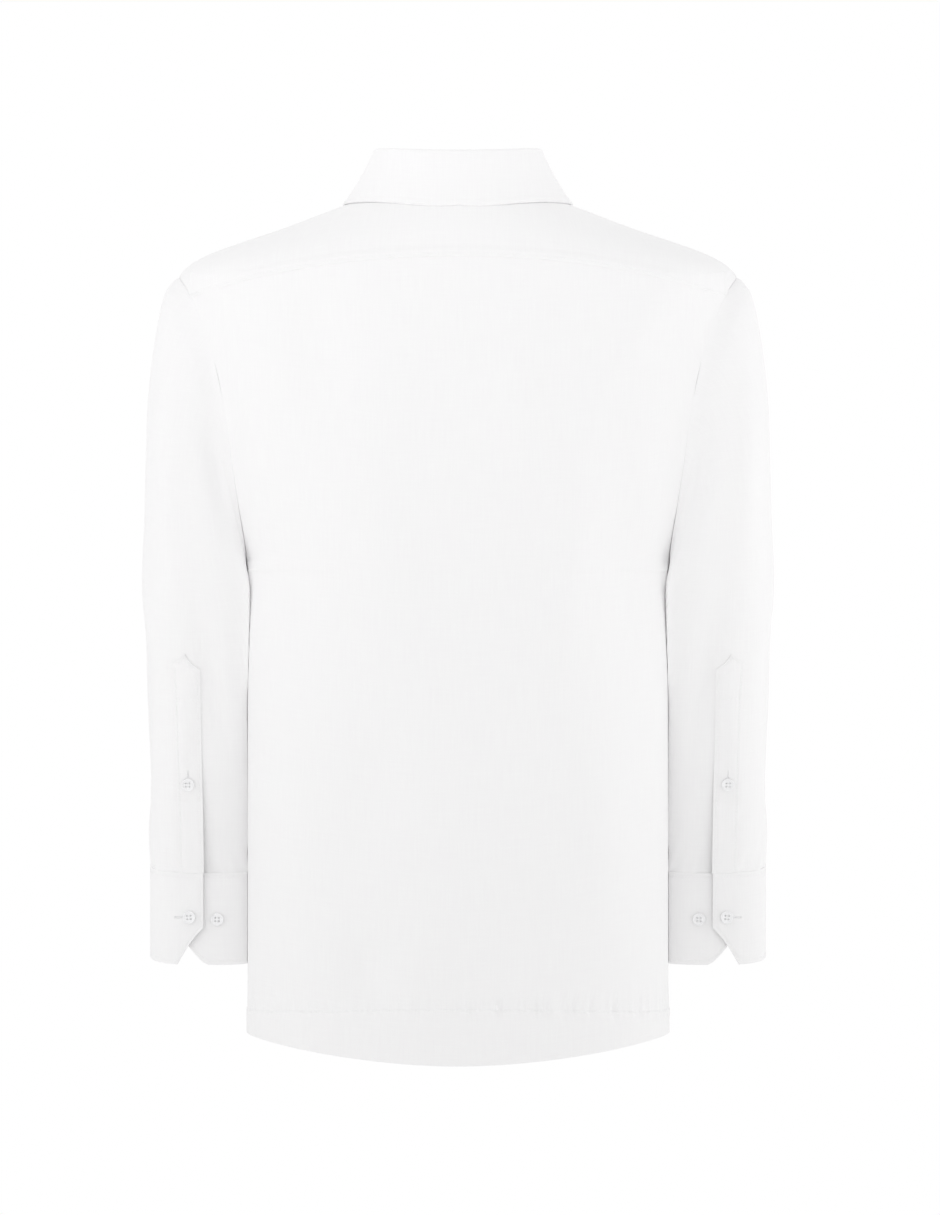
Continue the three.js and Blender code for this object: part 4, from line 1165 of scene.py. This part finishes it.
# Moulded polyester, tumbled until satin: a soft gleam on the rims, and faint clouds in the white.
resin, tree = material("moulded polyester, satin")
place = node(tree, "ShaderNodeTexCoord").outputs["Object"]
cloud = node(tree, "ShaderNodeTexNoise", {"Vector": place, "Scale": 240, "Detail": 2}).outputs["Fac"]
colours = {0: cloud, 6: linear(resin_shade), 7: linear(resin_white)}
resin_colour = node(tree, "ShaderNodeMix", colours, data_type="RGBA").outputs[2]
polish = node(tree, "ShaderNodeMapRange", {0: cloud, 1: 0, 2: 1, 3: 0.28, 4: 0.4}).outputs[0]
resin_shader = node(tree, "ShaderNodeBsdfPrincipled", {
    "Base Color": resin_colour, "Roughness": polish, "IOR": 1.54, "Specular IOR Level": 0.5,
})
node(tree, "ShaderNodeOutputMaterial", {"Surface": resin_shader.outputs[0]})

bpy.ops.object.select_all(action="DESELECT")
bpy.ops.mesh.primitive_cylinder_add(vertices=40, radius=button["radius"] * mm, depth=button["thick"] * mm)
model = bpy.context.object
bpy.ops.object.mode_set(mode="EDIT")
bpy.ops.mesh.select_all(action="DESELECT")
bpy.ops.object.mode_set(mode="OBJECT")
for face in model.data.polygons:
    face.select = face.normal.z > 0.9
bpy.ops.object.mode_set(mode="EDIT")
bpy.ops.mesh.inset(thickness=button["rim"] * mm)
bpy.ops.mesh.extrude_region_move(TRANSFORM_OT_translate={"value": (0, 0, -button["dish"] * mm)})
shrink = 1 - button["slope"] / (button["radius"] - button["rim"])
bpy.ops.transform.resize(value=(shrink, shrink, 1))
bpy.ops.object.mode_set(mode="OBJECT")
bevel = model.modifiers.new("edge", "BEVEL")
bevel.width = button["edge"] * mm
bevel.segments = 3
bevel.angle_limit = radians(40)
bpy.ops.object.modifier_apply(modifier="edge")
half_pitch = button_hole["pitch"] / 2
drilled = {"radius": button_hole["radius"] * mm, "depth": 4 * button["thick"] * mm}
for x, y in ((-1, -1), (-1, 1), (1, -1), (1, 1)):
    hole_place = (x * half_pitch * mm, y * half_pitch * mm, 0)
    bpy.ops.mesh.primitive_cylinder_add(vertices=14, location=hole_place, **drilled)
    drill = bpy.context.object
    only(model)
    bore = model.modifiers.new("hole", "BOOLEAN")
    bore.operation = "DIFFERENCE"
    bore.object = drill
    bpy.ops.object.modifier_apply(modifier="hole")
    bpy.data.objects.remove(drill)
only(model)
bpy.ops.object.shade_smooth_by_angle(angle=radians(35))


def spot_at(surface, x, z):
    """The place and outward direction on a piece's face at a distance from the middle and a height."""
    points, up, used = surface
    offset = (points[..., 0] - x) ** 2 + (points[..., 2] - z) ** 2 + out_of_use * (1 - used)
    row, column = np.unravel_index(np.argmin(offset), offset.shape)
    near, facing = points[row, column], unit(up[row, column])
    y = near[1] - (facing[0] * (x - near[0]) + facing[2] * (z - near[2])) / facing[1]
    return np.array([x, y, z]), facing


outer_end = np.broadcast_to(cuff_angle < cuff_end["over_mitre"] + cuff_end_turn, cuff_face.shape[:2])
inner_end = np.broadcast_to(cuff_angle > cuff_end["under_mitre"] - cuff_end_turn, cuff_face.shape[:2])
stand_front = np.broadcast_to(stand_turns > 2, stand_face.shape[:2])
front_heights = [front_button["first"] + k * front_button["step"] for k in range(front_button["count"])]
both_sides = ["_left", "_right"]
button_spots = [
    # name, surface, distance from the middle, height, way its buttonhole runs, sides
    *((f"button_front_{k}", (band, band_up, 1), 0, z, "up", [""]) for k, z in enumerate(front_heights, 1)),
    ("button_stand", (stand_face, stand_up, stand_front), 0, -42, "across", [""]),
    ("button_placket", (placket_face, placket_up, 1), 242.5, -521, "up", both_sides),
    ("button_cuff_over", (cuff_face, cuff_up, outer_end), 242, -641, "out", both_sides),
    ("button_cuff_under", (cuff_face, cuff_up, inner_end), 217, -643, "none", both_sides),
]


def worked_hole(surface, x, z, way, mirror):
    """A slit bound by close stitches along both sides and a bar across each end."""
    place, facing = spot_at(surface, x, z)
    level = unit(np.cross([0, 0, 1], facing))
    along = np.cross(facing, level) if way == "up" else level
    across = np.cross(facing, along)
    half, shift = buttonhole["length"] / 2, hole_shift[way] * (-1 if way == "out" else 1)
    rows = [(s, side * buttonhole["beside"], buttonhole["stitch"])
            for s in np.arange(-half, half, buttonhole["pitch"]) for side in (-1, 1)]
    bar = buttonhole["bar"]
    rows += [(end * (half + gap), 0, bar) for end in (-1, 1) for gap in (0, buttonhole["pitch"])]
    made = []
    for far, beside, length in rows:
        centre = place + along * (far + shift)
        centre, up = spot_at(surface, centre[0], centre[2])
        laid = [values * mirror for values in (centre + across * beside, across, up)]
        made.append(strands(*(values[None] for values in laid), length, buttonhole["radius"]))
    return made


hole_threads, bars = [], []
seat = button["thick"] / 2 + shank
face_height = button["thick"] / 2 - button["dish"]
for name, surface, x, z, way, sides in button_spots:
    for side in sides:
        mirror = np.array([-1 if side == "_right" else 1, 1, 1])
        place, facing = (values * mirror for values in spot_at(surface, x, z))
        turn = Vector((0, 0, 1)).rotation_difference(Vector(facing)).to_matrix().to_4x4()
        middle = place + facing * seat
        piece = bpy.data.objects.new(f"{name}{side}_moulded", model.data.copy())
        piece.data.transform(Matrix.Translation(Vector(middle) * mm) @ turn)
        piece.data.materials.clear()
        piece.data.materials.append(resin)
        scene.collection.objects.link(piece)
        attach(piece, "root")
        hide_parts(name + side)
        across, upward = (np.array(turn @ Vector(v))[:3] for v in ((1, 0, 0), (0, 1, 0)))
        for row in (-half_pitch, half_pitch):
            for beside in (-button_bar["beside"], button_bar["beside"]):
                bar = middle + facing * face_height + upward * (row + beside)
                long = button_hole["pitch"] + button_bar["past"]
                bars.append(strands(bar[None], across[None], facing[None], long, button_bar["radius"]))
        if way != "none":
            hole_threads += worked_hole(surface, x, z, way, mirror)
bpy.data.objects.remove(model)
sewn("button_threads", bars)
sewn("buttonhole_stitching", hole_threads)
